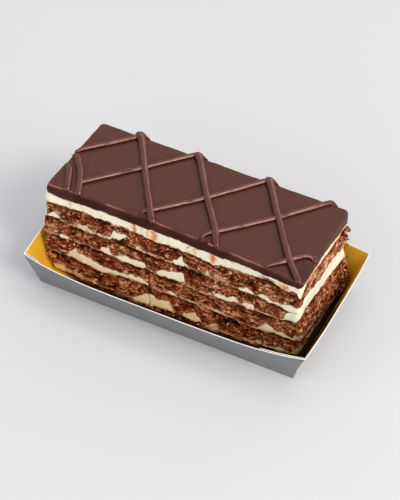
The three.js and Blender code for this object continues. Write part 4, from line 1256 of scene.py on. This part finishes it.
# ---- crumbs ----------------------------------------------------------------------------------
@dataclass
class Crumbs:
    """Loose crumbs that cling to the torn sheets, thickest where a corner has crumbled."""

    stack: LayerStack
    material: bpy.types.Material
    count: int = 1300
    corner_count: int = 260
    corner_span: tuple[float, float] = (146.0, 158.0)
    sheet_shares: tuple[float, ...] = (0.15, 0.2, 0.2, 0.2, 0.25)
    smallest: float = 0.15
    largest: float = 0.75
    thinnest: float = 1.5
    lowest: float = 1.6
    from_seam: float = 0.3
    seat: float = 0.12
    seed: int = 5

    def ball(self) -> tuple[Array, Array]:
        """A unit sphere of 80 triangles: an icosahedron with every face split in four.

        Returns:
            Its points and its faces as point numbers.
        """
        shape = bmesh.new()
        bmesh.ops.create_icosphere(shape, subdivisions=2, radius=1.0)
        points = np.array([vertex.co[:] for vertex in shape.verts])
        faces = np.array([[vertex.index for vertex in face.verts] for face in shape.faces])
        shape.free()
        return points, faces

    def scatter(self, random: np.random.Generator) -> tuple[Array, Array, Array]:
        """Draws places on the sponge's sides, more of them at the back of the right end.

        Args:
            random: The seeded generator.

        Returns:
            Places (n, 3), outward directions (n, 2) and whether each lies at that corner (n).
        """
        stack = self.stack
        total = self.count + self.corner_count
        column = random.integers(0, len(stack.walk), total)
        corner = np.flatnonzero(stack.within(self.corner_span))
        column[self.count :] = random.choice(corner, self.corner_count)
        layer = random.choice(len(self.sheet_shares), total, p=self.sheet_shares)
        seams = np.stack([stack.seam(number) for number in range(10)])
        low, high = seams[2 * layer, column], seams[2 * layer + 1, column]
        thick = high - low > self.thinnest
        column, low, high = column[thick], low[thick], high[thick]
        lowest = np.maximum(low, self.lowest) + self.from_seam
        z = lerp(lowest, high - self.from_seam, random.random(len(column)))
        along, across = stack.along[column], stack.across[column]
        place = stack.block.place(along, across, z)
        place[:, 2] += stack.block.dip(along, across, z)
        depth, _ = crumb_relief(place)
        place[:, :2] += stack.outward[column] * (depth + self.seat)[:, None]
        return place, stack.outward[column], np.flatnonzero(thick) >= self.count

    def build(self) -> bpy.types.Object:
        """Puts a lumpy ball at every drawn place.

        Sizes go by a fourth power, so most are tiny and a few are large. At the crumbled corner
        they are larger and stand further out. A few have cream on them.

        Returns:
            The piece, with all crumbs in it.
        """
        random = np.random.default_rng(self.seed)
        place, outward, corner = self.scatter(random)
        total = len(place)
        size = self.smallest + (self.largest - self.smallest) * random.random(total) ** 4
        size += corner * random.uniform(0, 0.35, total)
        place[:, :2] += outward * (corner * random.uniform(0, 1.1, total))[:, None]
        shape, faces = self.ball()
        stretch = random.uniform(0.7, 1.3, (total, 1, 3))
        points = place[:, None, :] + shape[None] * stretch * size[:, None, None]
        points = points + 0.4 * size[:, None, None] * shape[None] * value_noise(points, 0.45, 97)[..., None]
        faces = faces[None] + (np.arange(total) * len(shape))[:, None, None]
        marks = {
            Mark.TONE: np.repeat(random.uniform(0.35, 0.9, total), len(shape)),
            Mark.SMEAR: np.repeat(0.6 * (random.random(total) < 0.09), len(shape)),
        }
        points, faces = points.reshape(-1, 3), faces.reshape(-1, 3)
        return make_piece("clinging_crumbs", points, [faces], [self.material], marks)


# ---- glaze and piping ------------------------------------------------------------------------
@dataclass
class Glaze:
    """The poured chocolate glaze: flat on top, with a crisp edge and an uneven lower rim."""

    stack: LayerStack
    material: bpy.types.Material
    side_material: bpy.types.Material
    edge_radius: float = 0.5
    side_rows: int = 14
    edge_rows: int = 8
    lip: float = 0.35
    belly: float = 0.3
    lip_fade: float = 0.7
    seam_number: int = 10
    shaded_at: tuple[float, float] = (50.4, -13.6)
    shaded_radii: tuple[float, float] = (4.6, 5.6)
    shaded_from: tuple[float, float] = (-8.0, -9.5)
    glint_half: float = 0.3

    def section(self) -> tuple[Array, Array, Array]:
        """The glaze's section from its underside, up the side, round the edge and over the top.

        Returns:
            Each row's inset, its share of the climb to the edge and its lift over that, which
            follow a quarter circle at the edge, shape (rows, 1) each.
        """
        r = self.edge_radius
        caps = self.stack.cap_insets
        rows = [(inset, 0.0, 0.0) for inset in caps]
        rows += [(0.0, step, 0.0) for step in np.linspace(0, 1, self.side_rows)]
        for angle in np.linspace(0, np.pi / 2, self.edge_rows + 1)[1:]:
            rows.append((r * (1 - math.cos(angle)), 1.0, r * math.sin(angle)))
        rows += [(r + inset, 1.0, r) for inset in caps[::-1]]
        inset, climb, lift = (np.array(column)[:, None] for column in zip(*rows))
        return inset, climb, lift

    def build(self) -> bpy.types.Object:
        """Runs the section round the block.

        The side stands out by a lip and a sine-shaped belly, both waved by noise. The right end
        is a cut, so it has hardly any lip.

        Returns:
            The piece, which stands for the frame's glaze.
        """
        stack, block = self.stack, self.stack.block
        inset, climb, lift = self.section()
        seam, level = stack.seam(self.seam_number), stack.level(self.seam_number)
        inward = smoothstep(np.where(climb > 0, 0, inset), 0.0, stack.level_inset)
        foot = lerp(seam + block.dip(stack.along, stack.across, seam), level, inward)
        z = lerp(foot, block.top - self.edge_radius, climb) + lift
        places = block.place(*stack.drawn_in(inset), z)
        swell = 0.22 * value_noise(places * np.array([1, 1, 0.5]), 3.6, 101)
        swell = swell + 0.09 * value_noise(places, 1.1, 102)
        cut = np.clip(stack.outward[:, 0], 0, 1)
        on_side = np.exp(-np.where(climb > 0, inset, 9 * inset) / self.lip_fade) * (1 - 0.9 * cut)
        belly = self.belly * np.sin(np.pi * climb)
        places[..., :2] += stack.outward * ((self.lip + belly + swell) * on_side)[..., None]
        points, polygons = ring_surface(places, stack.middle(level), stack.middle(block.top))
        # Painted shade down the side faces, less on the cut right end, and in a patch at the front right
        # corner; a painted highlight along the front edge.
        side = inset + lift < 0.1
        below = smoothstep(block.top - places[..., 2], 0.3, 1.4) * np.clip(places[..., 2] - foot, 0, 1)
        far = np.hypot(places[..., 0] - self.shaded_at[0], places[..., 1] - self.shaded_at[1])
        shaded = 0.75 * (1 - smoothstep(far, *self.shaded_radii))
        shaded = shaded * smoothstep(places[..., 1], *self.shaded_from)
        glint = np.exp(-(((inset + lift - self.edge_radius) / self.glint_half) ** 2))
        broken = smoothstep(value_noise(places * np.array([1, 1, 0]), 5.0, 103), -0.3, 0.3)
        marks = {
            Mark.SIDE: np.maximum(np.maximum(below, 0.6 * side) * (1 - 0.75 * cut), shaded),
            Mark.EDGE: 0.85 * glint * (stack.outward[:, 1] < -0.5) * broken,
        }
        ran_down = np.repeat((climb[1:, 0] > 0) & (climb[:-1, 0] < 1), len(seam))
        material_of = np.append(ran_down, np.zeros(2 * len(seam)))
        materials = [self.material, self.side_material]
        piece = make_piece("chocolate_glaze", points, polygons, materials, marks, material_of)
        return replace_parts(piece, "glaze")


class Pass(Enum):
    """Whether a stroke was piped first, or later and so over the others.

    Its values are the height of its middle over the glaze, its half width, and the angle of its
    gleam, from its left side over its top, with the gleam's half width and strength.
    """

    UNDER = (0.35, 1.28, 2.2, 0.14, 0.8)
    OVER = (0.75, 1.42, 0.85, 0.28, 0.16)


@dataclass(frozen=True)
class Stroke:
    """One piped stroke and its pass.

    A point is (x, y, height over the glaze's top, share of the full width), the last being 1
    where it isn't given.
    """

    lies: Pass
    points: tuple[tuple[float, ...], ...]


STROKES = (
    Stroke(Pass.UNDER, (
        (-57.0, 5.0, -0.6, 0.5), (-55.9, 6.6, -0.2, 0.7), (-54.2, 8.6, 0), (-39.6, 23.8, 0),
        (-38.8, 25.4, 0))),
    Stroke(Pass.UNDER, ((-46.4, -9.8, 0), (-30, 7.5, 0), (-14.2, 24.8, 0), (-13.0, 26.0, 0))),
    Stroke(Pass.UNDER, (
        (-16.5, -14.7, -1.1, 0.5), (-17.0, -13.3, -0.5, 0.7), (-15.8, -11.5, -0.1, 0.9),
        (-13.7, -10.0, 0), (0.3, 4.2, 0), (17.0, 23.6, 0), (18.0, 25.0, 0))),
    Stroke(Pass.UNDER, (
        (9.6, -15.6, -1.1, 0.5), (9.2, -14.2, -0.5, 0.7), (10.3, -12.1, -0.1, 0.9), (13.2, -9.4, 0),
        (29.2, 6.6, 0), (42.0, 21.4, 0), (44.6, 24.2, 0), (45.9, 25.2, -0.2), (47.4, 24.8, -0.6, 0.8),
        (49.4, 23.9, -1.3, 0.5))),
    Stroke(Pass.UNDER, (
        (36.7, -17.4, -0.7, 0.5), (39.0, -15.7, -0.1, 0.8), (42.4, -12.2, 0), (45.4, -8.5, 0),
        (48.2, -6.0, 0), (50.6, -5.2, 0), (52.2, -5.9, -0.1), (53.1, -7.4, -0.5, 0.7))),
    Stroke(Pass.OVER, (
        (-56.7, 3.9, -1.0, 0.6), (-55.7, 3.3, -0.5, 0.9), (-54.2, 2.4, -0.2), (-51.9, -0.4, 0),
        (-48.7, -4.9, 0), (-46.2, -9.8, 0), (-44.9, -12.7, -0.1), (-44.2, -14.8, -0.4),
        (-44.1, -16.0, -1.6, 0.8))),
    Stroke(Pass.OVER, (
        (-56.9, -2.4, -1.0, 0.6), (-55.6, -3.1, -0.4, 0.9), (-53.9, -4.6, -0.1), (-51.8, -8.4, 0),
        (-50.3, -11.9, 0), (-49.3, -14.5, -0.3), (-49.0, -16.0, -1.6, 0.8))),
    Stroke(Pass.UNDER, ((-15.9, -13.2, -1.5, 1.3), (-14.4, -14.2, -2.0, 1.9), (-12.9, -14.4, -1.6, 1.4))),
    Stroke(Pass.UNDER, ((10.4, -13.9, -1.5, 1.3), (12.2, -14.9, -2.0, 1.9), (14.2, -15.2, -1.6, 1.4))),
    Stroke(Pass.OVER, (
        (-33.6, 25.7, -1.5, 0.35), (-35.8, 26.1, -0.9, 0.6), (-37.8, 26.5, -0.5, 0.9), (-38.9, 26.2, -0.3),
        (-38.2, 25.0, 0), (-36.2, 23.0, 0), (-27.7, 9.4, 0), (-14.2, -11.4, 0), (-12.5, -14.0, 0),
        (-11.3, -15.3, -0.6, 0.85), (-11.9, -15.9, -1.8, 0.7), (-13.6, -16.1, -2.4, 0.65),
        (-15.8, -16.0, -2.1, 0.6), (-17.0, -15.0, -1.3, 0.5), (-17.0, -13.3, -0.9, 0.5),
        (-15.9, -11.3, -0.6, 0.6))),
    Stroke(Pass.OVER, (
        (-7.4, 25.4, -1.5, 0.35), (-9.6, 25.8, -0.9, 0.6), (-11.6, 26.2, -0.5, 0.9), (-12.7, 25.9, -0.3),
        (-11.8, 24.8, 0), (-9.9, 22.8, 0), (1.8, 5.4, 0), (12.8, -9.6, 0), (14.7, -13.6, 0),
        (16.0, -15.6, -0.6, 0.85), (15.5, -16.4, -1.8, 0.7), (13.4, -16.8, -2.4, 0.65),
        (10.8, -16.8, -2.1, 0.6), (9.3, -15.9, -1.3, 0.5), (9.2, -14.2, -0.9, 0.5),
        (10.4, -12.1, -0.6, 0.6))),
    Stroke(Pass.OVER, (
        (23.8, 25.0, -1.5, 0.35), (21.8, 25.5, -0.9, 0.6), (19.7, 26.0, -0.5, 0.9), (18.7, 25.7, -0.3),
        (19.5, 24.5, 0), (21.0, 22.8, 0), (28.8, 11.2, 0), (38.2, -2.4, 0), (44.6, -11.4, 0),
        (48.8, -16.2, -0.1), (51.2, -18.6, -0.5, 0.8), (52.2, -19.6, -1.6, 0.6))),
)


@dataclass
class Piping:
    """Two crossing zigzags of piped chocolate, with the cut strokes at both ends.

    Where a stroke hangs below the glaze's edge it is as matt as the glaze that ran down there.
    The shade on a stroke's far flank lies between two angles round it, and fades from and to
    two more.
    """

    top: float
    material: bpy.types.Material
    low_material: bpy.types.Material
    rise: float = 1.0
    low: float = 0.1
    grooves: float = 0.045
    sides: int = 30
    step: float = 0.3
    span_steps: int = 40
    end_taper: float = 0.8
    shade_on: tuple[float, float] = (2.35, 2.75)
    shade_off: tuple[float, float] = (4.0, 4.6)

    def route(self, stroke: Stroke) -> Array:
        """A smooth curve through a stroke's points, with even steps.

        Between two points the curve is a cubic that passes through both and runs along their
        neighbours' chord at each.

        Args:
            stroke: The stroke.

        Returns:
            Places along the curve and their shares of the full width, shape (n, 4).
        """
        knots = np.array([(*point, 1.0)[:4] for point in stroke.points])
        padded = np.vstack([2 * knots[0] - knots[1], knots, 2 * knots[-1] - knots[-2]])
        t = np.linspace(0, 1, self.span_steps, endpoint=False)[:, None]
        spans = []
        for a, b, c, d in zip(padded, padded[1:], padded[2:], padded[3:]):
            reach = np.linalg.norm(c - b)
            into = (c - a) / np.linalg.norm(c - a) * reach
            away = (d - b) / np.linalg.norm(d - b) * reach
            ends = (2 * t**3 - 3 * t**2 + 1) * b + (3 * t**2 - 2 * t**3) * c
            spans.append(ends + (t**3 - 2 * t**2 + t) * into + (t**3 - t**2) * away)
        curve = np.vstack(spans + [knots[-1:]])
        far = np.concatenate([[0], np.cumsum(np.linalg.norm(np.diff(curve, axis=0), axis=1))])
        even = np.linspace(0, far[-1], max(8, round(far[-1] / self.step)))
        return np.stack([np.interp(even, far, curve[:, k]) for k in range(4)], axis=-1)

    def bead(self, stroke: Stroke) -> tuple[Array, Array, Array, Array]:
        """Sweeps an oval section along a stroke's route.

        The section lies square to the route. Its radius closes by a square root at both ends,
        wavers a little and has shallow grooves, a cosine of five times the angle round it. Its
        middle lies just over the glaze.

        Args:
            stroke: The stroke.

        Returns:
            Rings of points (steps, sides, 3), the two end points (2, 3), the gleam along its
            shoulder, a bell curve of the angle (steps, sides), and the shade on its far flank.
        """
        height, radius, gleam_at, gleam_half, gleam = stroke.lies.value
        curve = self.route(stroke)
        route, width = curve[:, :3], curve[:, 3]
        ahead = np.gradient(route, axis=0)
        ahead /= np.linalg.norm(ahead, axis=1, keepdims=True)
        aside = np.stack([-ahead[:, 1], ahead[:, 0], np.zeros(len(ahead))], axis=-1)
        aside /= np.linalg.norm(aside, axis=1, keepdims=True)
        up = np.cross(ahead, aside)
        far = np.arange(len(route)) * self.step
        ends = np.sqrt(np.clip(np.minimum(far, far[-1] - far) / self.end_taper + 0.02, 0, 1))
        waver = 1 + 0.06 * value_noise(route, 5.0, 111) + 0.03 * value_noise(route, 1.5, 112)
        route = route + np.array([0, 0, self.top + height])
        angle = np.linspace(0, 2 * np.pi, self.sides, endpoint=False)[None, :, None]
        groove = 1 + self.grooves * np.cos(5 * angle + 2 * value_noise(route, 9.0, 113)[:, None, None])
        size = (width * waver * ends)[:, None, None] * groove
        oval = radius * np.cos(angle) * aside[:, None] + self.rise * np.sin(angle) * up[:, None]
        rings = route[:, None] + size * oval
        shine = gleam * np.exp(-(((angle[..., 0] - gleam_at) / gleam_half) ** 2))
        shine = shine * smoothstep(value_noise(rings, 2.5, 114), -0.9, 0.1)
        shine = shine * smoothstep(curve[:, 2:3], -0.7, -0.1)
        around = np.broadcast_to(angle[..., 0], shine.shape)
        shade = 0.95 * smoothstep(around, *self.shade_on) * (1 - smoothstep(around, *self.shade_off))
        return rings, np.stack([route[0], route[-1]]), shine, shade

    def build(self) -> bpy.types.Object:
        """Joins all strokes into one piece, with painted shade that darkens them from just over the glaze
        down the side.

        Returns:
            The piece.
        """
        points, polygons, shines, shades = [], [], [], []
        start = 0
        for stroke in STROKES:
            rings, ends, shine, shade = self.bead(stroke)
            some, faces = ring_surface(rings[:, ::-1], *ends)
            points.append(some)
            shines.append(np.append(shine[:, ::-1], [0, 0]))
            shades.append(np.append(shade[:, ::-1], [0, 0]))
            polygons.append([f + start for f in faces])
            start += len(some)
        merged = [np.vstack(group) for group in zip(*polygons)]
        everything = np.vstack(points)
        # Painted shade from just over the glaze down the side, besides the painted shade on far flanks and
        # the painted highlight on the shoulder.
        painted_low_shade = 0.9 * smoothstep(self.top + 0.8 - everything[:, 2], 0.0, 1.1)
        marks = {
            Mark.SIDE: np.maximum(painted_low_shade, np.concatenate(shades)),
            Mark.EDGE: np.concatenate(shines),
        }
        heights = np.concatenate([everything[group, 2].mean(axis=1) for group in merged])
        is_low = heights < self.top + self.low
        materials = [self.material, self.low_material]
        return make_piece("piped_lattice", everything, merged, materials, marks, is_low)


# ---- tray ------------------------------------------------------------------------------------
@dataclass(frozen=True)
class WallShape:
    """How a pair of walls bends: the middle of its rim is bowed out and so sits lower."""

    bow: float
    power: float
    dip: float


class Skin(IntEnum):
    """What a face of the board shows, by the number of its material."""

    GOLD = 0
    GREY = 1
    PULP = 2


@dataclass
class CardTray:
    """The folded tray: a flat floor, four leaning walls and two flaps inside the front one.

    Its walls are numbered from the front, anticlockwise.
    """

    board: Sequence[bpy.types.Material]
    half_length: float = 55.9
    half_width: float = 27.75
    rim: tuple[tuple[float, float], ...] = ((-60.6, -32.0), (61.4, -31.4), (62.0, 31.7), (-62.0, 31.7))
    height: float = 17.6
    floor: float = 0.7
    card: float = 0.5
    floor_rings: tuple[float, ...] = (0.5, 1.5, 2.5, 3.5, 4.5, 5.5, 6.5, 7.5, 9.0, 12.0)
    foot: tuple[float, float, float, float] = (-54.8, -21.5, 54.3, 25.4)
    long: WallShape = WallShape(3.45, 4.0, 1.1)
    short: WallShape = WallShape(0.9, 3.0, 0.0)
    spacing: float = 0.6
    wall_rows: int = 14
    fold_share: float = 0.004
    outside_from: float = 0.03
    inside_to: float = 0.06
    below_rim: float = 0.99
    round_off: float = 0.12
    flap_rows: int = 16
    flap_columns: int = 14
    flap_slot: float = 0.4
    flap_span: tuple[float, float] = (0.1, 0.97)
    flap_taper: float = 0.6
    left_flap: float = 5.5
    right_flap: float = 16.5

    def outward(self, side: int) -> Array:
        """Outward direction of a wall."""
        return np.array([[0, -1, 0], [1, 0, 0], [0, 1, 0], [-1, 0, 0]], float)[side]

    def wall(self, side: int, share: Array, up: Array) -> Array:
        """Places on the outside of a wall.

        They lie on straight lines from the fold to the rim. The rim runs straight between its
        corners, plus a bow of one minus a power of the distance from the middle.

        Args:
            side: Number of the wall.
            share: Share of its length, from its first corner.
            up: Share of its height.

        Returns:
            Places, shape (..., 3).
        """
        signs = np.array([[-1, -1], [1, -1], [1, 1], [-1, 1]], float)
        share, up = (part[..., None] for part in np.broadcast_arrays(share, up))
        fold = lerp(signs[side], signs[(side + 1) % 4], share) * np.array([self.half_length, self.half_width])
        top = lerp(np.array(self.rim[side]), np.array(self.rim[(side + 1) % 4]), share)
        shape = self.short if side % 2 else self.long
        middle = 1 - np.abs(2 * share - 1) ** shape.power
        top = top + self.outward(side)[:2] * shape.bow * middle
        return np.concatenate([lerp(fold, top, up), up * (self.height - shape.dip * middle)], axis=-1)

    def stations(self) -> tuple[Array, Array, Array]:
        """Columns round the tray, from the front left corner anticlockwise.

        Returns:
            The fold's points, the rim's points and the inward directions, shape (n, 3) each.
        """
        folds, rims, inwards = [], [], []
        for side in range(4):
            run = 2 * (self.half_width if side % 2 else self.half_length)
            share = np.linspace(0, 1, round(run / self.spacing), endpoint=False)
            folds.append(self.wall(side, share, np.zeros(1)))
            rims.append(self.wall(side, share, np.ones(1)))
            inward = np.tile(-self.outward(side), (len(share), 1))
            inward[0] -= self.outward(side - 1)
            inwards.append(inward)
        return np.vstack(folds), np.vstack(rims), np.vstack(inwards)

    def build_walls(self) -> bpy.types.Object:
        """Runs a section round the tray: the outside of the wall, its rim, its inside and the floor.

        The walls are waved by two noises that fade out towards the fold. The front right corner
        is worn through in a frayed line.

        Returns:
            The piece, which stands for the frame's tray.
        """
        fold, rim, inward = self.stations()
        rows = [(0.0, 0.0), (self.fold_share, 0.0)]
        rows += [(share, 0.0) for share in np.linspace(self.outside_from, self.below_rim, self.wall_rows)]
        rows += [(1.0, self.round_off), (1.0, self.card - self.round_off)]
        rows += [(share, self.card) for share in np.linspace(self.below_rim, self.inside_to, self.wall_rows)]
        rings = [lerp(fold, rim, share) + inward * off for share, off in rows]
        for off in self.floor_rings:
            inner = fold * np.array([1 - off / self.half_length, 1 - off / self.half_width, 0])
            inner[:, 2] = self.floor
            rings.append(inner)
        places = np.stack(rings)
        wave = 0.16 * value_noise(places * np.array([1, 1, 0.6]), 22.0, 121)
        wave = wave + 0.05 * value_noise(places, 6.0, 122)
        places -= inward * (wave * smoothstep(places[..., 2], 1.0, 9.0))[..., None]
        points, polygons = ring_surface(places, np.zeros(3), np.array([0, 0, self.floor]))
        # Rows of faces: the outside, the rim, the inside with the floor, and the two fans, of which
        # the first is the underside.
        outside, rim_rows = self.wall_rows + 1, 3
        skins = np.full(len(rings) + 1, Skin.GOLD)
        skins[:outside] = Skin.GREY
        skins[outside : outside + rim_rows] = Skin.PULP
        skins[-2] = Skin.GREY
        material_of = np.repeat(skins, len(fold))
        worn = np.zeros(places.shape[:2])
        right_corner = round(2 * self.half_length / self.spacing)
        corner = places[:outside, right_corner]
        frayed = (0.75 + 0.5 * value_noise(corner, 1.2, 125)) * smoothstep(corner[:, 2], 1.0, 6.0)
        worn[:outside, right_corner] = np.clip(frayed, 0, 1)
        # Painted shade near the cake, kept off the outside of the walls.
        soaked = self.soaked(points)
        soaked[: outside * len(fold)] = 0
        marks = {Mark.PAINTED_CAKE_SHADE: soaked, Mark.WORN: worn}
        piece = make_piece("folded_tray", points, polygons, self.board, marks, material_of)
        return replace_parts(piece, "card_tray")

    def soaked(self, points: Array) -> Array:
        """Painted shade on the board near the cake, which also stands in for the cake's dark reflection in
        the foil.

        It is a smooth step of the distance to the cake's foot, away from its left end, and on
        the right wall a smooth step along it, strongest at its front. There it
        is darkest near the rim.

        Args:
            points: Places on the tray.

        Returns:
            Shares from 0, unshaded, to 1.
        """
        west, south, east, north = self.foot
        beside = np.maximum(np.maximum(west - points[:, 0], points[:, 0] - east), 0)
        before = np.maximum(np.maximum(south - points[:, 1], points[:, 1] - north), 0)
        far = np.hypot(np.hypot(beside, before), 0.35 * points[:, 2]) + value_noise(points, 3.0, 123)
        # Painted shade on the right wall beside the front half of the cake.
        wall_shade = smoothstep(points[:, 0], 55.0, 56.5)
        wall_shade *= 1 - smoothstep(points[:, 1] + 2 * value_noise(points, 4.0, 124), 0.0, 15.0)
        foot_shade = (1 - smoothstep(far, 1.6, 4.4)) * smoothstep(points[:, 0], -52.0, -42.0)
        return np.maximum(foot_shade, lerp(0.45, 1.0, smoothstep(points[:, 2], 4.0, 11.0)) * wall_shade)

    def flap(self, reach: float, from_right: bool) -> Array:
        """Face of one corner flap as a grid that follows the inside of the front wall.

        Args:
            reach: Its length at the rim.
            from_right: Whether it is folded in from the right end.

        Returns:
            Grid of points, shape (up, along, 3).
        """
        up = np.linspace(*self.flap_span, self.flap_rows)[:, None]
        taper = lerp(self.flap_taper, 1.0, up)
        share = taper * np.linspace(0, 1, self.flap_columns) * reach / (2 * self.half_length)
        share = share + self.card / (4 * self.half_length)
        face = self.wall(0, 1 - share if from_right else share, up)
        return face + np.array([0, self.card + self.flap_slot, 0])

    def build_flaps(self) -> bpy.types.Object:
        """Gives both flaps their thickness and joins them.

        Each is the face's grid, the same one card further in, and a strip round both.

        Returns:
            The piece, with both flaps in it.
        """
        points, polygons, skins = [], [], []
        start = 0
        for reach, from_right in ((self.left_flap, False), (self.right_flap, True)):
            face = self.flap(reach, from_right)
            rows, columns = face.shape[:2]
            size = rows * columns
            grid = np.arange(size).reshape(rows, columns)
            edge = np.concatenate([grid[0], grid[1:, -1], grid[-1, -2::-1], grid[-2:0:-1, 0]])
            quads = np.stack([grid[:-1, :-1], grid[:-1, 1:], grid[1:, 1:], grid[1:, :-1]], axis=-1)
            quads = quads.reshape(-1, 4)
            ahead = np.roll(edge, -1)
            rim = np.stack([edge, edge + size, ahead + size, ahead], axis=-1)
            for skin, faces in ((Skin.GREY, quads), (Skin.GOLD, quads[:, ::-1] + size), (Skin.PULP, rim)):
                polygons.append(start + (faces[:, ::-1] if from_right else faces))
                skins.append(np.full(len(faces), skin))
            points += [face.reshape(-1, 3), (face + np.array([0, self.card, 0])).reshape(-1, 3)]
            start += 2 * size
        everything, faces = np.vstack(points), np.vstack(polygons)
        # Painted shade near the cake on the flaps too.
        marks = {Mark.PAINTED_CAKE_SHADE: self.soaked(everything)}
        material_of = np.concatenate(skins)
        return make_piece("corner_flaps", everything, [faces], self.board, marks, material_of)


# ---- studio ----------------------------------------------------------------------------------
@dataclass(frozen=True)
class SoftLight:
    """One soft box: where it stands, its size in metres, its power in watts and its colour."""

    azimuth: float
    elevation: float
    distance: float
    size: float
    power: float
    colour: str


@dataclass
class Studio:
    """Pale floor, soft light and the camera."""

    floor_half: float = 3000.0
    sky: str = "#fafbff"
    sky_strength: float = 0.53
    target: tuple[float, float, float] = (1.9, 0.0, 20.0)
    azimuth: float = 25.5
    elevation: float = 45.6
    roll: float = 1.3
    distance: float = 614.2
    lens: float = 111.5
    lights: tuple[SoftLight, ...] = (
        SoftLight(88.0, 24.0, 2.0, 1.4, 24.0, "#fff5ea"),
        SoftLight(68.5, 45.7, 2.0, 0.5, 9.0, "#ffffff"),
        SoftLight(150.0, 60.0, 2.0, 1.5, 4.0, "#ffffff"),
        SoftLight(205.0, 45.0, 2.0, 2.0, 4.2, "#ffffff"),
        SoftLight(176.0, 29.0, 2.0, 0.5, 1.6, "#ffffff"),
        SoftLight(5.0, 25.0, 2.0, 1.5, 7.0, "#ffffff"),
        SoftLight(-50.0, 25.0, 2.0, 1.5, 7.0, "#eaf2ff"),
    )

    @staticmethod
    def direction(azimuth: float, elevation: float) -> Vector:
        """Unit vector from the object towards an azimuth, 0 being the front, and elevation."""
        a, e = math.radians(azimuth), math.radians(elevation)
        return Vector((math.sin(a) * math.cos(e), -math.cos(a) * math.cos(e), math.sin(e)))

    def build_floor(self) -> None:
        half = self.floor_half * MM
        corners = [(-half, -half, 0), (half, -half, 0), (half, half, 0), (-half, half, 0)]
        mesh = bpy.data.meshes.new("studio_floor")
        mesh.from_pydata(corners, [], [(0, 1, 2, 3)])
        mesh.materials.append(LaminateFinish().make())
        floor = bpy.data.objects.new("studio_floor", mesh)
        bpy.context.scene.collection.objects.link(floor)

    def build_lights(self) -> None:
        """Sets an even pale sky and the soft boxes, each turned to the cake."""
        world = bpy.data.worlds.new("soft_sky")
        world.use_nodes = True
        background = world.node_tree.nodes["Background"]
        background.inputs["Color"].default_value = linear(self.sky)
        background.inputs["Strength"].default_value = self.sky_strength
        bpy.context.scene.world = world
        for number, spec in enumerate(self.lights):
            data = bpy.data.lights.new(f"soft_box_{number}", "AREA")
            data.shape = "SQUARE"
            data.size = spec.size
            data.energy = spec.power
            data.color = linear(spec.colour)[:3]
            box = bpy.data.objects.new(f"soft_box_{number}", data)
            towards = self.direction(spec.azimuth, spec.elevation)
            box.location = Vector(self.target) * MM + towards * spec.distance
            box.rotation_euler = (-towards).to_track_quat("-Z", "Y").to_euler()
            bpy.context.scene.collection.objects.link(box)

    def build_camera(self) -> None:
        """Stands the camera at its angle and distance and rolls it about its view."""
        data = bpy.data.cameras.new("camera")
        data.lens = self.lens
        data.sensor_width = 36.0
        data.clip_start = 0.01
        camera = bpy.data.objects.new("camera", data)
        back = self.direction(self.azimuth, self.elevation)
        a, r = math.radians(self.azimuth), math.radians(self.roll)
        right = Vector((math.cos(a), math.sin(a), 0))
        up = back.cross(right)
        rolled_right = right * math.cos(r) + up * math.sin(r)
        rolled_up = up * math.cos(r) - right * math.sin(r)
        turn = Matrix((rolled_right, rolled_up, back)).transposed().to_4x4()
        place = Vector(self.target) * MM + back * self.distance * MM
        camera.matrix_world = Matrix.Translation(place) @ turn
        bpy.context.scene.collection.objects.link(camera)
        bpy.context.scene.camera = camera


def main() -> None:
    """Builds the cake, its tray and the studio in order."""
    logging.basicConfig(level=logging.INFO, format="%(name)s: %(message)s")
    bpy.context.scene.view_settings.view_transform = "Standard"
    studio = Studio()
    studio.build_camera()
    studio.build_floor()
    studio.build_lights()
    sponge = SpongeFinish().make()
    cream = CreamFinish().make()
    # The lowest cream is a paler copy of the cream: painted light that offsets the shade low in the tray.
    base_cream = CreamFinish(name="soaked_butter_cream", clean="#fffbe0").make()
    glaze = GlazeFinish("poured_chocolate_glaze", "#462115", "#572e20", 0.34, 0.5).make()
    run_down = GlazeFinish("run_down_chocolate_glaze", "#52281b", "#5c3022", 0.5, 0.15).make()
    # The piped chocolate's colours for its painted shade and its painted highlight.
    piped = GlazeFinish("piped_chocolate", "#4f2014", "#5c291c", 0.2, 0.8, "#260d08", "#e0a896").make()
    stack = LayerStack(CakeBlock())
    layers = CakeLayers(stack, sponge, [base_cream] + 4 * [cream])
    for number in range(len(stack.creams)):
        layers.build_sponge(number)
        layers.build_cream(number)
    Crumbs(stack, sponge).build()
    Glaze(stack, glaze, run_down).build()
    Piping(stack.block.top, piped, run_down).build()
    gold = FoilFinish("gold_foil_board", "#ffc838", 0.4, 0.18).make()
    grey = FoilFinish("grey_coated_board", "#7c7d7e", 0.5, 0.1).make()
    tray = CardTray([gold, grey, CutEdgeFinish().make()])
    tray.build_walls()
    tray.build_flaps()


if __name__ == "__main__":
    main()
